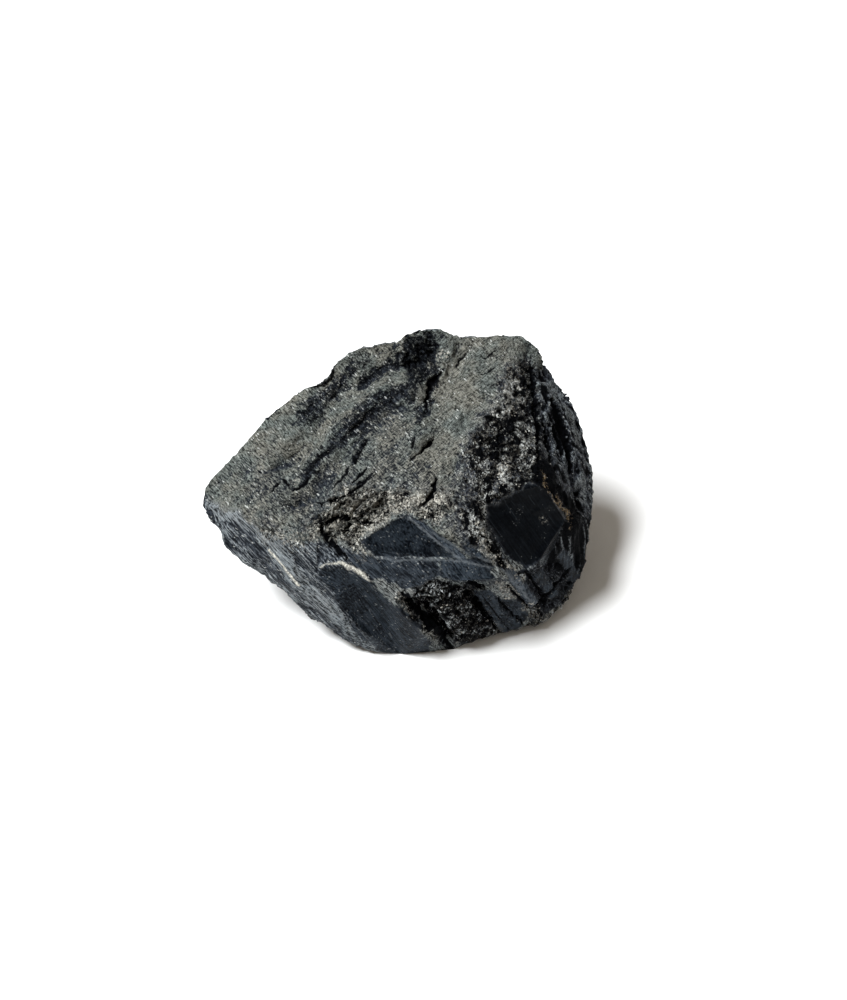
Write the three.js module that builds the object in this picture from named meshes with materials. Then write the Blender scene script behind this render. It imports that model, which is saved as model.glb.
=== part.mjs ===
// A rough chunk of black tourmaline (schorl), broken out of a larger crystal and lying on its broken base.
// Millimetres, +Z up. The origin is the middle of the chunk's outline, on the surface that it rests on.
// The chunk is one piece of crystal, so it is one mesh: a cage of fracture faces with named corners, divided
// into small triangles, whose corners are then moved in or out for swells, lumps, prisms, steps and scarps.

import * as THREE from "three";
import { ImprovedNoise } from "three/addons/math/ImprovedNoise.js";
import { TessellateModifier } from "three/addons/modifiers/TessellateModifier.js";

// Driving dimensions of the whole chunk, and of its triangles.
const LENGTH = 62;
const DEPTH = 41;
const HEIGHT = 36;
const LONGEST_EDGE = 2.2;
const DIVIDING_ROUNDS = 14;

// The relief: broad swells, round lumps, the prisms that the crystal is bundled from, and the top's steps,
// which wander sideways and come and go.
const SWELL_SIZE = 13;
const LUMP_SIZE = 3.6;
const PRISM_WIDTH = 4.2;
const STEP_WIDTH = 5.4;
const STEP_WANDER = 2.4;
const STEP_FADE = 7;

// Two faces meet in a crest where they turn by more than this angle. The relief grows from almost nothing at
// a crest to its whole height at this distance, so that it never cuts through a thin edge.
const CREST_TURN = THREE.MathUtils.degToRad(65);
const CREST_REACH = 3.5;
const LOWEST_OFF_BASE = 0.05;

// The way that the crystal's prisms run, and the way that the steps on its broken top run.
const prismAxis = new THREE.Vector3(0.37, -0.2, -0.9).normalize();
const stepAxis = new THREE.Vector3(0.74, 0.62, 0).normalize();

// Corners of the fracture faces, [x, y, z].
const corners = {
  // The blunt tip at the left end, and the rim of the dusty top, going right along its back edge.
  tip: [-30.5, -2, 17],
  tipTop: [-30, 0.5, 18.5],
  tipLow: [-29.5, -4.5, 16],
  rim1: [-27.5, 2.5, 20],
  rim2: [-23.5, 6.5, 22.5],
  rim3: [-20.5, 9.5, 24.5],
  rim4: [-15.5, 12.5, 27],
  rim5: [-10.5, 15, 30],
  rim6: [-9, 16, 31.5],
  rim7: [-7, 17, 32],
  rim8: [-2.5, 17.5, 33],
  rim9: [0.5, 17.5, 33.5],
  peakLeft: [2, 18, 35],
  peak: [4.5, 18, 36],
  peakRight: [7.5, 18, 36],
  rim10: [9.5, 17.5, 35],
  rim11: [13, 17.5, 34.5],
  rim12: [17, 17.5, 35],
  shoulder0: [20.5, 17.5, 35],
  shoulder1: [23, 17, 33],
  shoulder2: [24, 15.5, 31],

  // Points on the dusty top.
  topLeft: [-20, 0.5, 22],
  topLow: [-9.5, -5, 25],
  topRib: [-11, 5.5, 27],
  topRibHigh: [-1, 13, 32.5],
  topMiddle: [2, -1, 28.5],
  topRight: [8.5, 9.5, 32.5],

  // The ridge where the dusty top breaks off to the front.
  ridge1: [-28, -4, 18.5],
  ridge2: [-24, -6, 19.5],
  ridge3: [-21, -8.5, 20],
  ridge4: [-17, -11.5, 20.5],
  ridge5: [-12, -12, 22],
  notch: [-11, -10.5, 22.5],
  ridge6: [-8, -12.5, 21.5],
  ridge7: [-5, -14, 21],
  ridge8: [-2.5, -12.5, 23.5],
  ridge9: [1.5, -11.5, 25],
  ridge10: [3.5, -12, 25],
  ridge11: [7.5, -14, 24.5],
  ridge12: [11, -15, 24],
  ridge13: [13, -10, 27],
  ridge14: [16, -9, 28],
  ridge15: [23, -6.5, 26.5],

  // The fold where the top turns down into the sugary slope, and that slope's right edge.
  fold1: [19.5, 15, 34.5],
  fold2: [17, 6.5, 32.5],
  fold3: [11.5, -0.5, 30.5],
  fold4: [10, -10, 27.5],
  edge1: [21.5, 11, 30.5],
  edge2: [22, 3.5, 28.5],
  edge3: [22.5, -2.5, 27],

  // The ribbed wall at the right end.
  wall1: [25, 15.5, 29.5],
  wall2: [27.5, 13.5, 27],
  wall3: [29, 11, 24.5],
  wall4: [30.5, 8.5, 21.5],
  wall5: [31.5, 5.5, 17.5],
  wall6: [31.5, 2.5, 14.5],
  wall7: [31.2, -1, 11.5],
  wall8: [30.5, -4, 8.5],
  swell1: [25, 7.5, 26.5],
  swell2: [27, 3, 22],
  swell3: [28.5, -2.5, 15],

  // The foot of the front, going left from the heel.
  heel1: [30, -7, 5],
  heel2: [27.5, -10.5, 2],
  heel3: [23.5, -14, 1],
  foot1: [17.5, -15.5, 1],
  foot2: [13.5, -17, 0.8],
  foot3: [9.5, -18, 0],
  foot4: [7, -18.5, 0],
  foot5: [1, -19, 0],
  foot6: [-2.5, -19, 0.5],
  foot7: [-6, -18.5, 1.5],

  // The lower edge of the left band, rising to the tip, and the seam that parts the two left bands.
  belly1: [-9.5, -17, 3.5],
  belly2: [-13, -15.5, 5.5],
  belly3: [-17, -13, 8],
  belly4: [-20.5, -11, 10],
  belly5: [-24, -10, 12],
  belly6: [-27, -8, 14],
  belly7: [-27.5, -6, 15],
  seam1: [-21.5, -8.5, 18.5],
  seam2: [-19, -11, 16],
  seam3: [-15, -15, 13],
  seam4: [-11, -16.5, 9.5],
  seam5: [-7.5, -18.5, 5.5],

  // The dark slab at the front: its left side, the pale edge along its top, and the lip over the crevice.
  slab1: [-11.5, -14, 18.5],
  slab2: [-12, -16, 16.5],
  slab3: [-8.5, -18, 12],
  slab4: [-6, -19.5, 8],
  pale1: [-11, -15.5, 18],
  pale2: [-8, -15.5, 19],
  pale3: [-5.5, -17, 18],
  pale4: [-3.5, -17.5, 17],
  lip1: [0, -19, 14.5],
  lip2: [1.5, -20, 12],
  lip3: [4.5, -20.5, 8],

  // The crevice behind the lip, and its right bank.
  crevice1: [2.5, -15.5, 13.5],
  crevice2: [6, -14.5, 8.5],
  crevice3: [9, -15.5, 3.5],
  bank1: [7, -19, 15],
  bank2: [6.5, -19.5, 13],
  bank3: [9, -19.5, 7],
  bank4: [10, -18.5, 3],
  bank5: [12.5, -17.5, 9.5],

  // The slate-blue tread and the bevels above it.
  tread1: [0.5, -16, 21],
  tread2: [4.5, -16, 20.5],
  tread3: [8, -17.5, 18],
  tread4: [10, -18, 17.8],
  tread5: [13, -18, 18],
  tread6: [16.5, -17.5, 18],
  tread7: [16, -16.5, 19.6],
  bevel1: [7, -14.5, 23],
  bevel2: [9.5, -15.5, 21],
  bevel3: [11.5, -16, 20.8],
  hood: [13.5, -17, 22],

  // The grooved plate below the tread.
  plate1: [13.5, -16.5, 14.3],
  plate2: [11.5, -16, 12.5],
  plate3: [16, -16.5, 5],
  plate4: [21.5, -14.5, 8.5],
  plate5: [19, -15, 14.3],

  // The glassy face at the lower right.
  glass1: [23, -12.5, 16],
  glass2: [26.5, -8, 20],

  // The broken back, from the left, at half height and then near the foot.
  back1: [-21, 8, 13],
  back2: [-12, 15.5, 15],
  back3: [-3, 19.5, 20],
  back4: [8, 20.5, 24],
  back5: [17, 19, 20],
  back6: [25.5, 14, 15],
  back7: [28.5, 7, 9],
  skirt1: [-13, 7, 5],
  skirt2: [-4, 16.5, 6],
  skirt3: [7, 18.5, 8],
  skirt4: [17, 15.5, 6],
  skirt5: [25, 6, 4],

  // The underside of the tip, and the outline of the flat base.
  under1: [-15, -2, 5],
  under2: [-24, 1, 11.5],
  base1: [-8, -12, 0],
  base2: [-11.5, 3, 0],
  base3: [-7, 11, 0],
  base4: [3, 14.5, 0],
  base5: [14, 12.5, 0],
  base6: [21, 4, 0],
  base7: [21.5, -6, 0],
  base8: [15, -13.5, 0],
};

// The kinds of fracture face. Swells, lumps, prisms and steps are heights in mm, a scarred face also has the
// scarps below, and each ring of corners runs anticlockwise as seen from outside.
const surfaces = {
  "dusty top": {
    swells: 0.45,
    lumps: 0.2,
    prisms: 0,
    steps: 0.55,
    scarred: true,
    rings: [
      "tipTop tip ridge1 ridge2 ridge3 topLeft rim3 rim2 rim1",
      "ridge3 ridge4 ridge5 notch topLow topLeft",
      "topLeft topLow topRib rim4 rim3",
      "rim4 topRib topRibHigh rim9 rim8 rim7 rim6 rim5",
      "notch ridge6 ridge7 ridge8 ridge9 topMiddle topLow",
      "topLow topMiddle topRight topRibHigh topRib",
      "ridge9 ridge10 fold4 fold3 topMiddle",
      "topMiddle fold3 fold2 topRight",
      "topRight fold2 fold1 shoulder0 rim12 rim11 rim10",
      "topRight rim10 peakRight peak peakLeft rim9 topRibHigh",
    ],
  },
  "sugary slope": {
    swells: 0.45,
    lumps: 0.75,
    prisms: 0.25,
    steps: 0,
    rings: [
      "fold1 fold2 edge1 shoulder2 shoulder1 shoulder0",
      "fold2 fold3 edge3 edge2 edge1",
      "fold3 fold4 ridge13 ridge14 ridge15 edge3",
      "ridge10 ridge11 ridge12 ridge13 fold4",
      "ridge13 ridge12 hood tread7",
    ],
  },
  "ribbed wall": {
    swells: 0.4,
    lumps: 0.15,
    prisms: 0.85,
    steps: 0,
    rings: [
      "shoulder2 edge1 edge2 swell1 wall2 wall1",
      "edge2 edge3 ridge15 swell2 swell1",
      "swell1 swell2 wall5 wall4 wall3 wall2",
      "ridge15 glass2 swell3 swell2",
      "swell2 swell3 wall7 wall6 wall5",
      "glass2 heel1 wall8 wall7 swell3",
    ],
  },
  "glassy faces": {
    swells: 0.12,
    lumps: 0.05,
    prisms: 0.14,
    steps: 0,
    rings: [
      "ridge7 tread1 tread2 bevel2 bevel1 ridge10 ridge9 ridge8",
      "ridge10 bevel1 bevel2 bevel3 ridge11",
      "ridge11 bevel3 tread7 hood ridge12",
      "tread2 tread3 tread4 tread5 tread6 tread7 bevel3 bevel2",
      "slab2 slab3 slab4 foot6 foot5 foot4 lip3 lip2 lip1 pale4 pale3 pale2 pale1",
      "plate1 plate2 plate3 foot1 heel3 plate4 plate5 tread6",
      "ridge13 tread7 plate5 glass1 glass2 ridge15 ridge14",
      "plate5 plate4 heel3 heel2 heel1 glass2 glass1",
    ],
  },
  "left bands": {
    swells: 0.35,
    lumps: 0.2,
    prisms: 0.3,
    steps: 0,
    rings: [
      "tip tipLow belly7 belly6 belly5 belly4 seam2 seam1 ridge2 ridge1",
      "belly4 belly3 belly2 belly1 foot7 seam5 seam4 seam3 seam2",
      "ridge2 seam1 seam2 seam3 seam4 seam5 foot7 foot6 slab4 slab3 slab2 slab1 ridge5 ridge4 ridge3",
    ],
  },
  "broken front": {
    swells: 0.3,
    lumps: 0.4,
    prisms: 0.3,
    steps: 0,
    rings: [
      "ridge5 slab1 slab2 pale1 pale2 ridge6 notch",
      "ridge6 pale2 pale3 pale4 tread1 ridge7",
      "tread1 pale4 lip1 crevice1 bank1 tread3 tread2",
      "lip1 lip2 crevice2 crevice1",
      "lip2 lip3 crevice3 crevice2",
      "lip3 foot4 crevice3",
      "crevice1 crevice2 bank2 bank1",
      "crevice2 crevice3 bank3 bank2",
      "crevice3 foot3 bank4 bank3",
      "crevice3 foot4 foot3",
      "tread3 bank1 bank2 bank3 bank5 plate2 tread4",
      "bank3 bank4 foot3 foot2 foot1 plate3 bank5",
      "bank5 plate3 plate2",
      "tread4 plate2 plate1 tread5",
      "tread5 plate1 tread6",
      "tread7 tread6 plate5",
    ],
  },
  "broken back": {
    swells: 0.6,
    lumps: 0.3,
    prisms: 0.8,
    steps: 0,
    rings: [
      "shoulder0 back5 back4 peak peakRight rim10 rim11 rim12",
      "peak back4 back3 rim7 rim8 rim9 peakLeft",
      "rim7 back3 back2 rim4 rim5 rim6",
      "rim4 back2 back1 rim1 rim2 rim3",
      "back2 skirt2 skirt1 back1",
      "back3 skirt2 back2",
      "back4 skirt3 skirt2 back3",
      "back5 skirt4 skirt3 back4",
      "shoulder0 shoulder1 shoulder2 wall1 wall2 back6 back5",
      "wall2 wall3 wall4 wall5 back7 back6",
      "wall5 wall6 wall7 back7",
      "wall7 wall8 heel1 skirt5 back7",
      "back6 back7 skirt5 skirt4 back5",
    ],
  },
  "underside": {
    swells: 0.5,
    lumps: 0.35,
    prisms: 0.4,
    steps: 0,
    rings: [
      "tipTop rim1 back1 under2 belly7 tipLow tip",
      "back1 skirt1 under1 under2",
      "under2 under1 belly4 belly5 belly6 belly7",
      "under1 base2 base1 belly2 belly3 belly4",
      "skirt1 base3 base2 under1",
      "base1 foot5 foot6 foot7 belly1 belly2",
      "skirt1 skirt2 base4 base3",
      "skirt2 skirt3 skirt4 base5 base4",
      "skirt4 skirt5 base6 base5",
      "skirt5 heel1 heel2 base7 base6",
      "heel2 heel3 foot1 base8 base7",
      "foot1 foot2 foot3 base8",
    ],
  },
};
const baseRing = "foot5 base1 base2 base3 base4 base5 base6 base7 base8 foot3 foot4";

// Scarps on the dusty top: a steep wall along each line, seen from above, dropping to the line's right, and
// then a gentle ramp back up to the level of the face.
const scarps = [
  { line: [[-17, 4.5], [-12, 11], [-9, 13.5], [-3, 16.2], [3.5, 16.8]], drop: 1.9, wall: 2.4, ramp: 6.5 },
  { line: [[-14.5, -3.5], [-9.5, 2.5], [-6.3, 5.3], [-2.5, 7.6], [3, 9.6]], drop: 1.7, wall: 2.4, ramp: 7 },
  { line: [[4.2, 2.5], [4.8, 8], [7.4, 12.4], [8.5, 16]], drop: 1.2, wall: 2.2, ramp: 5 },
];
const SCARP_FADE = 2.5;

const names = (ring) => ring.split(" ");
const point = (name) => new THREE.Vector3(...corners[name]);

// The outward direction of the plane that fits a ring of corners best.
function facing(ring) {
  const points = names(ring).map(point);
  const middle = points.reduce((sum, p) => sum.add(p), new THREE.Vector3()).divideScalar(points.length);
  const normal = new THREE.Vector3();
  points.forEach((p, i) => {
    const next = points[(i + 1) % points.length];
    normal.add(p.clone().sub(middle).cross(next.clone().sub(middle)));
  });
  return normal.normalize();
}

// The triangles that fill one ring of corners, cut as seen along the ring's outward direction.
function trianglesOf(ring) {
  const points = names(ring).map(point);
  const turn = new THREE.Quaternion().setFromUnitVectors(facing(ring), new THREE.Vector3(0, 0, 1));
  const outline = points.map((p) => new THREE.Vector2().copy(p.clone().applyQuaternion(turn)));
  return THREE.ShapeUtils.triangulateShape(outline, []).map((corner) => corner.map((i) => points[i]));
}

// A surface's triangles, divided until no edge is long. The divisions of an edge depend on its length alone,
// so neighbouring triangles still meet corner to corner.
function divided(rings) {
  const positions = rings.flatMap(trianglesOf).flat();
  const geometry = new THREE.BufferGeometry().setFromPoints(positions);
  return new TessellateModifier(LONGEST_EDGE, DIVIDING_ROUNDS).modify(geometry);
}

// Every vertex of the chunk once, with its outward direction and the heights of the surfaces that meet there.
function weld() {
  const vertices = new Map();
  const triangles = [];
  const add = (p, normal, surface) => {
    const key = p.toArray().map((value) => value.toFixed(3)).join();
    if (!vertices.has(key)) {
      vertices.set(key, { index: vertices.size, at: p.clone(), out: new THREE.Vector3(), meets: new Set() });
    }
    const vertex = vertices.get(key);
    vertex.out.add(normal);
    vertex.meets.add(surface);
    return vertex.index;
  };
  for (const surface of [...Object.values(surfaces), { still: true, rings: [baseRing] }]) {
    const place = divided(surface.rings).getAttribute("position");
    for (let i = 0; i < place.count; i += 3) {
      const [a, b, c] = [0, 1, 2].map((k) => new THREE.Vector3().fromBufferAttribute(place, i + k));
      const normal = b.clone().sub(a).cross(c.clone().sub(a));
      triangles.push([a, b, c].map((p) => add(p, normal, surface)));
    }
  }
  return { vertices: [...vertices.values()], triangles };
}

// The crests, each as a line from corner to corner.
function findCrests() {
  const sides = new Map();
  for (const ring of [...Object.values(surfaces).flatMap((surface) => surface.rings), baseRing]) {
    const outward = facing(ring);
    names(ring).forEach((name, i, all) => sides.set(`${name} ${all[(i + 1) % all.length]}`, outward));
  }
  return [...sides.keys()]
    .map((side) => side.split(" "))
    .filter(([a, b]) => a < b && sides.get(`${a} ${b}`).angleTo(sides.get(`${b} ${a}`)) > CREST_TURN)
    .map(([a, b]) => new THREE.Line3(point(a), point(b)));
}

const crests = findCrests();
function shareOfRelief(p) {
  const foot = new THREE.Vector3();
  const distances = crests.map((crest) => crest.closestPointToPoint(p, true, foot).distanceTo(p));
  return THREE.MathUtils.smoothstep(Math.min(...distances), -CREST_REACH / 4, CREST_REACH);
}

const noise = new ImprovedNoise();
const noiseAt = (p, size) => noise.noise(p.x / size, p.y / size, p.z / size);

// A fixed number between -1 and 1 for each pair of whole numbers.
function chance(i, j) {
  const value = Math.sin(i * 127.1 + j * 311.7) * 43758.5453;
  return 2 * (value - Math.floor(value)) - 1;
}

// The height of the prism that a point belongs to. Seen along the axis, the prisms are the cells around
// jittered grid points, and each stands out or back by its own amount.
const acrossPrisms = new THREE.Vector3(0, 0, 1).cross(prismAxis).normalize();
const throughPrisms = prismAxis.clone().cross(acrossPrisms);
function prismHeight(p) {
  const x = p.dot(acrossPrisms) / PRISM_WIDTH;
  const y = p.dot(throughPrisms) / PRISM_WIDTH;
  let nearest = Infinity;
  let height = 0;
  for (let i = Math.floor(x) - 1; i <= Math.floor(x) + 1; i++) {
    for (let j = Math.floor(y) - 1; j <= Math.floor(y) + 1; j++) {
      const distance = Math.hypot(i + 0.5 + 0.4 * chance(i, j) - x, j + 0.5 + 0.4 * chance(j, i + 57) - y);
      if (distance < nearest) {
        nearest = distance;
        height = chance(i + 19, j + 7);
      }
    }
  }
  return height;
}

// Steps across the top: each rises gently and then drops in two fifths of its width.
function stepHeight(p) {
  const across = p.x * stepAxis.y - p.y * stepAxis.x + STEP_WANDER * noiseAt(p, STEP_FADE);
  const phase = across / STEP_WIDTH - Math.floor(across / STEP_WIDTH);
  return phase < 0.6 ? phase / 0.3 - 1 : 1 - (phase - 0.6) / 0.2;
}

// How far below the face a scarp has cut at a point. It fades at the ends of its line.
function scarpDepth(p, { line, drop, wall, ramp }) {
  const here = new THREE.Vector2(p.x, p.y);
  let nearest = Infinity;
  let right = 0;
  for (let i = 1; i < line.length; i++) {
    const start = new THREE.Vector2(...line[i - 1]);
    const along = new THREE.Vector2(...line[i]).sub(start);
    const share = THREE.MathUtils.clamp(here.clone().sub(start).dot(along) / along.lengthSq(), 0, 1);
    const foot = start.addScaledVector(along, share);
    const gap = here.distanceTo(foot);
    if (gap < nearest) {
      nearest = gap;
      right = Math.sign(-along.cross(here.clone().sub(foot))) * gap;
    }
  }
  const ends = [line[0], line.at(-1)].map((end) => here.distanceTo(new THREE.Vector2(...end)));
  const fade = THREE.MathUtils.smoothstep(Math.min(...ends), 0, SCARP_FADE);
  const rise = 1 - THREE.MathUtils.smoothstep(right, wall, ramp);
  return drop * fade * rise * THREE.MathUtils.smoothstep(right, 0, wall);
}

// How far a vertex moves outwards: the mean of what each surface that meets there asks for, and less near a
// crest.
function reliefAt({ at, meets }) {
  let sum = 0;
  for (const surface of meets) {
    sum += surface.swells * noiseAt(at, SWELL_SIZE) + surface.lumps * noiseAt(at, LUMP_SIZE);
    sum += surface.prisms * prismHeight(at) + surface.steps * stepHeight(at) * (0.5 + noiseAt(at, STEP_FADE));
    if (surface.scarred) sum -= scarps.reduce((depth, scarp) => depth + scarpDepth(at, scarp), 0);
  }
  return (shareOfRelief(at) * sum) / meets.size;
}

// Where a vertex ends up. The base stays flat, and nothing else comes down to its level.
function placeOf(vertex) {
  if ([...vertex.meets].some((surface) => surface.still)) return vertex.at;
  const place = vertex.at.clone().addScaledVector(vertex.out.normalize(), reliefAt(vertex));
  place.z = Math.max(place.z, LOWEST_OFF_BASE);
  return place;
}

// The chunk's geometry, scaled to the driving dimensions and stood on the origin.
function chunkGeometry() {
  const { vertices, triangles } = weld();
  const geometry = new THREE.BufferGeometry().setFromPoints(vertices.map(placeOf));
  geometry.setIndex(triangles.flat());
  geometry.computeBoundingBox();
  const { min, max } = geometry.boundingBox;
  const size = max.clone().sub(min);
  geometry.translate(-(min.x + max.x) / 2, -(min.y + max.y) / 2, -min.z);
  geometry.scale(LENGTH / size.x, DEPTH / size.y, HEIGHT / size.z);
  geometry.computeVertexNormals();
  return geometry;
}

function tourmaline() {
  const schorl = new THREE.MeshStandardMaterial({ color: 0x2f3438, roughness: 0.55, metalness: 0 });
  const mesh = new THREE.Mesh(chunkGeometry(), schorl);
  mesh.name = "tourmaline";
  return mesh;
}

const root = new THREE.Group();
root.add(tourmaline());

export default root;
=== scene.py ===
"""A rough chunk of black tourmaline on a pale studio floor.

The chunk is a fine mesh made from its solid: divided, then carved with steps, prisms, grains, grooves and
cracks. Geometry Nodes lay pale grains and needles on it. Sizes are in millimetres until a mesh is made.
"""

import math
from types import SimpleNamespace

import bpy
import numpy as np
from bpy.props import FloatProperty, FloatVectorProperty, IntProperty, PointerProperty
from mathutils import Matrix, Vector, noise


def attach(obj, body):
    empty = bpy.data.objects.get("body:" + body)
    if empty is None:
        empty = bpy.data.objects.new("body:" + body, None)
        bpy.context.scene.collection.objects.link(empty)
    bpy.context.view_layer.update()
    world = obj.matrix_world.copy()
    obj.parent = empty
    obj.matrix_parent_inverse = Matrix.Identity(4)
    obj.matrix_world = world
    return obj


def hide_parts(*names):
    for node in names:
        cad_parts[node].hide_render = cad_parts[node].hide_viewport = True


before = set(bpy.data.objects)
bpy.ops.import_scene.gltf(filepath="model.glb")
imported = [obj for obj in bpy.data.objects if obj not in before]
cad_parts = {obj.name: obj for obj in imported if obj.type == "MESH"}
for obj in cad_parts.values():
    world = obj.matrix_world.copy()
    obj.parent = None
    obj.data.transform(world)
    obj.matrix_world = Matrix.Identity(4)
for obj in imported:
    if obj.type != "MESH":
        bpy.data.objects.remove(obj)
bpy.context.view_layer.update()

bl_info = {
    "name": "Rough Tourmaline",
    "version": (1, 0, 0),
    "blender": (4, 5, 0),
    "location": "3D View > Sidebar > Tourmaline",
    "description": "Makes a rough chunk of black tourmaline with pale grains and needles, and a stage for it",
    "category": "Add Mesh",
}

NODE = "tourmaline"
MM = 0.001

# The surface's features are placed on a drawing plane: x to the right and, across it, the way up the plane,
# which leans back so that it faces someone who looks down on the chunk's front at this angle.
LOOK_DOWN = math.radians(50)
TOWARDS_VIEWER = np.array([0.0, -math.cos(LOOK_DOWN), math.sin(LOOK_DOWN)])

# Directions in the stone: its prisms, those of its right wall, the steps on its top, the short strokes across
# them, and the fibres of the bands at the left.
PRISMS = Vector((0.54, -0.25, -0.8)).normalized()
UPRIGHT = Vector((0.06, -0.15, -0.99)).normalized()
STEPS = Vector((0.72, 0.55, 0.42)).normalized()
STROKES = Vector((0.63, -0.77, -0.05)).normalized()
FIBRES = Vector((0.71, -0.52, -0.48)).normalized()

# Outlines on the drawing plane, in millimetres, and how blurred each one's edge is.
AREAS = {
    "top": ([(-32, 11.5), (-28, 9), (-24.5, 8), (-21, 5.4), (-16.5, 3.9), (-12, 3.6), (-8, 5), (-5.5, 3.6),
             (-2.5, 5.8), (1, 7.4), (5.1, 4.9), (9.6, 1.2), (12.4, 1.4), (13.4, 9), (18.2, 11.4), (22, 13),
             (22.2, 19), (21.7, 24), (21.2, 30.4), (23.6, 30.4), (26, 40), (-32, 40)], 0.8),
    "plain": ([(4.4, 23), (8, 22), (12, 25.5), (14.5, 32), (12, 34), (8.5, 32), (6.8, 28)], 3.0),
    "sugary": ([(16.1, 29.4), (15.8, 24.6), (13.5, 23), (11.3, 19), (10.2, 17.6), (9.8, 12.4), (9, 8.8),
                (8.8, 5.6), (11, 3), (14.2, 2.6), (14.6, 9.2), (19, 11), (23.4, 12.6), (22, 19.3),
                (21.5, 24), (21.3, 29.6), (20.6, 31.6), (18.5, 31.5)], 3.2),
    "granular": ([(-22, 7), (-16, 4), (-14.5, 6), (-12, 8.4), (-9.6, 11), (-6, 12.8), (-2, 12), (2, 12),
                  (6, 11.6), (9.6, 11.6), (8.4, 8), (6.4, 6.2), (2.4, 7.8), (0.6, 7.5), (-3.2, 5.8),
                  (-5.6, 3.6), (-5, 1.8), (-7.5, 3), (-11, 4), (-16, 2.6), (-21, 4.6)], 3.4),
    "bands": ([(-32, 11), (-28, 8.6), (-24.6, 7.8), (-21, 5), (-16.5, 3.7), (-12, 3.2), (-8, 2.4), (-3, 1.2),
               (6.5, 0.8), (6.6, -1.8), (2, -3.6), (-3.6, -2), (-7.5, -6), (-6.6, -9), (-3, -12.4), (1, -16),
               (-12, -16), (-32, 2)], 0.6),
    "slate_band": ([(-27.5, 7), (-24.5, 7), (-21, 3), (-18, -1), (-15, -5), (-17, -4.5), (-21, -0.5),
                    (-25, 4)], 1.2),
    "slate_front": ([(-9.5, 2.6), (-3, 1), (6.5, 0.6), (6.6, -1.8), (2.4, -3.8), (-3.4, -2),
                     (-6, -0.4)], 0.9),
    "slab": ([(-12, -1.6), (-10.8, -0.5), (-8.6, -0.7), (-4.2, -2.8), (0.3, -6.8), (3.2, -9.8), (5.4, -12.8),
              (4.8, -15), (-2, -14.6), (-5.6, -12.4), (-7.6, -9.6), (-9, -5.9), (-10.4, -3.6)], 0.8),
    "navy": ([(1, 7.7), (5.2, 4.6), (9.3, 1.2), (-3.3, 1.3), (-5.6, 3.6), (-2.5, 5.6)], 0.3),
    # The bevel and the tread are painted lighter: painted highlight.
    "bevel": ([(1.4, 7.7), (3.6, 6.8), (7.9, 3.8), (10.6, 1.2), (9.4, 1), (5.3, 4.6)], 0.3),
    "tread": ([(6.7, 0.9), (10, 1.1), (12.5, 0.8), (15.3, -2.1), (12.8, -2.5), (9, -2.5), (6.7, -1.8)], 0.4),
    "rough_front": ([(2, -4), (5, -2.6), (9, -2.8), (12, -4.3), (15, -8.6), (17.4, -11.4), (12, -14),
                     (9, -12.5), (6.5, -9.5), (4.5, -7.2), (2.6, -5.6)], 0.8),
    "plate": ([(11.8, -4.3), (14.3, -4), (16.2, -5.6), (19.4, -5.6), (20.8, -7.9), (19.6, -10.2),
               (16.8, -11.6), (14.2, -8)], 0.3),
    "glassy": ([(13.6, 9.2), (16.4, 10.2), (18.4, 11.4), (20.4, 12.5), (22.6, 11.8), (24.8, 9.8), (26.4, 7.4),
                (24.9, 4), (22.9, 0.5), (20, -0.6), (17.6, 1), (15, 4.6), (13.7, 7)], 0.7),
    "corner": ([(17.5, -1.5), (22, 0), (27.5, 0.6), (32, 3), (30, -4), (24, -9.5), (21, -10.5),
                (20.5, -7)], 0.8),
    # The hollow is painted darker: painted shade.
    "hollow": ([(1.4, 29.5), (0, 32), (0.6, 34.6), (2.6, 36.2), (5.4, 36.4), (6.8, 34.2), (6, 31),
                (4, 28)], 2.4),
    "splintered": ([(-12, 4.4), (-11.8, 7.4), (-9, 10), (-4, 11), (-1, 10), (-3.4, 6.8), (-6.8, 4.6),
                    (-9.5, 4.2)], 1.0),
    "wall": ([(23.6, 30.6), (21.2, 30.6), (21.6, 24), (22, 19.3), (22.4, 14.5), (22.4, 12), (25.2, 9.4),
              (26.4, 7.4), (24.9, 4), (22.9, 0.5), (24, -0.6), (29, -2.4), (34, 0), (36, 20), (26, 40),
              (23.8, 34)], 0.6),
}

# Light grey faces and dark ones between the broken places: crisp strips that stand out a little.
SLATE_STRIPS = [
    [(16.4, -0.8), (18, -0.6), (20.2, -3.4), (22.2, -6), (21, -7.2), (19.4, -5.2), (17.6, -3)],
]
# Strips of the right wall, painted lighter: painted highlight.
WALL_STRIPS = [
    [(25.8, 25.5), (26.9, 24.9), (28, 23), (28.9, 20.6), (29.1, 18.2), (28, 18.8), (27.2, 21.6),
     (26.3, 24)],
    [(23.6, 28.6), (24.9, 29.4), (26.4, 27.3), (26.8, 26.1), (24.1, 26.2)],
    [(29.2, 15), (29.8, 12), (29.6, 9), (29, 11.6), (28.7, 14)],
]
NAVY_STRIPS = [
    [(9.6, 3.6), (10.9, 3.5), (12.8, 1.8), (15, -0.3), (14.3, -0.8), (12.1, 0.5), (10.4, 2.1)],
    [(22.6, -0.9), (25.6, -4.9), (24.2, -5.8), (21.2, -2.2)],
    [(26, 2.6), (29.1, -2.1), (27.8, -3), (24.8, 1.1)],
]
STRIP_BLUR = 0.35

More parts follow.
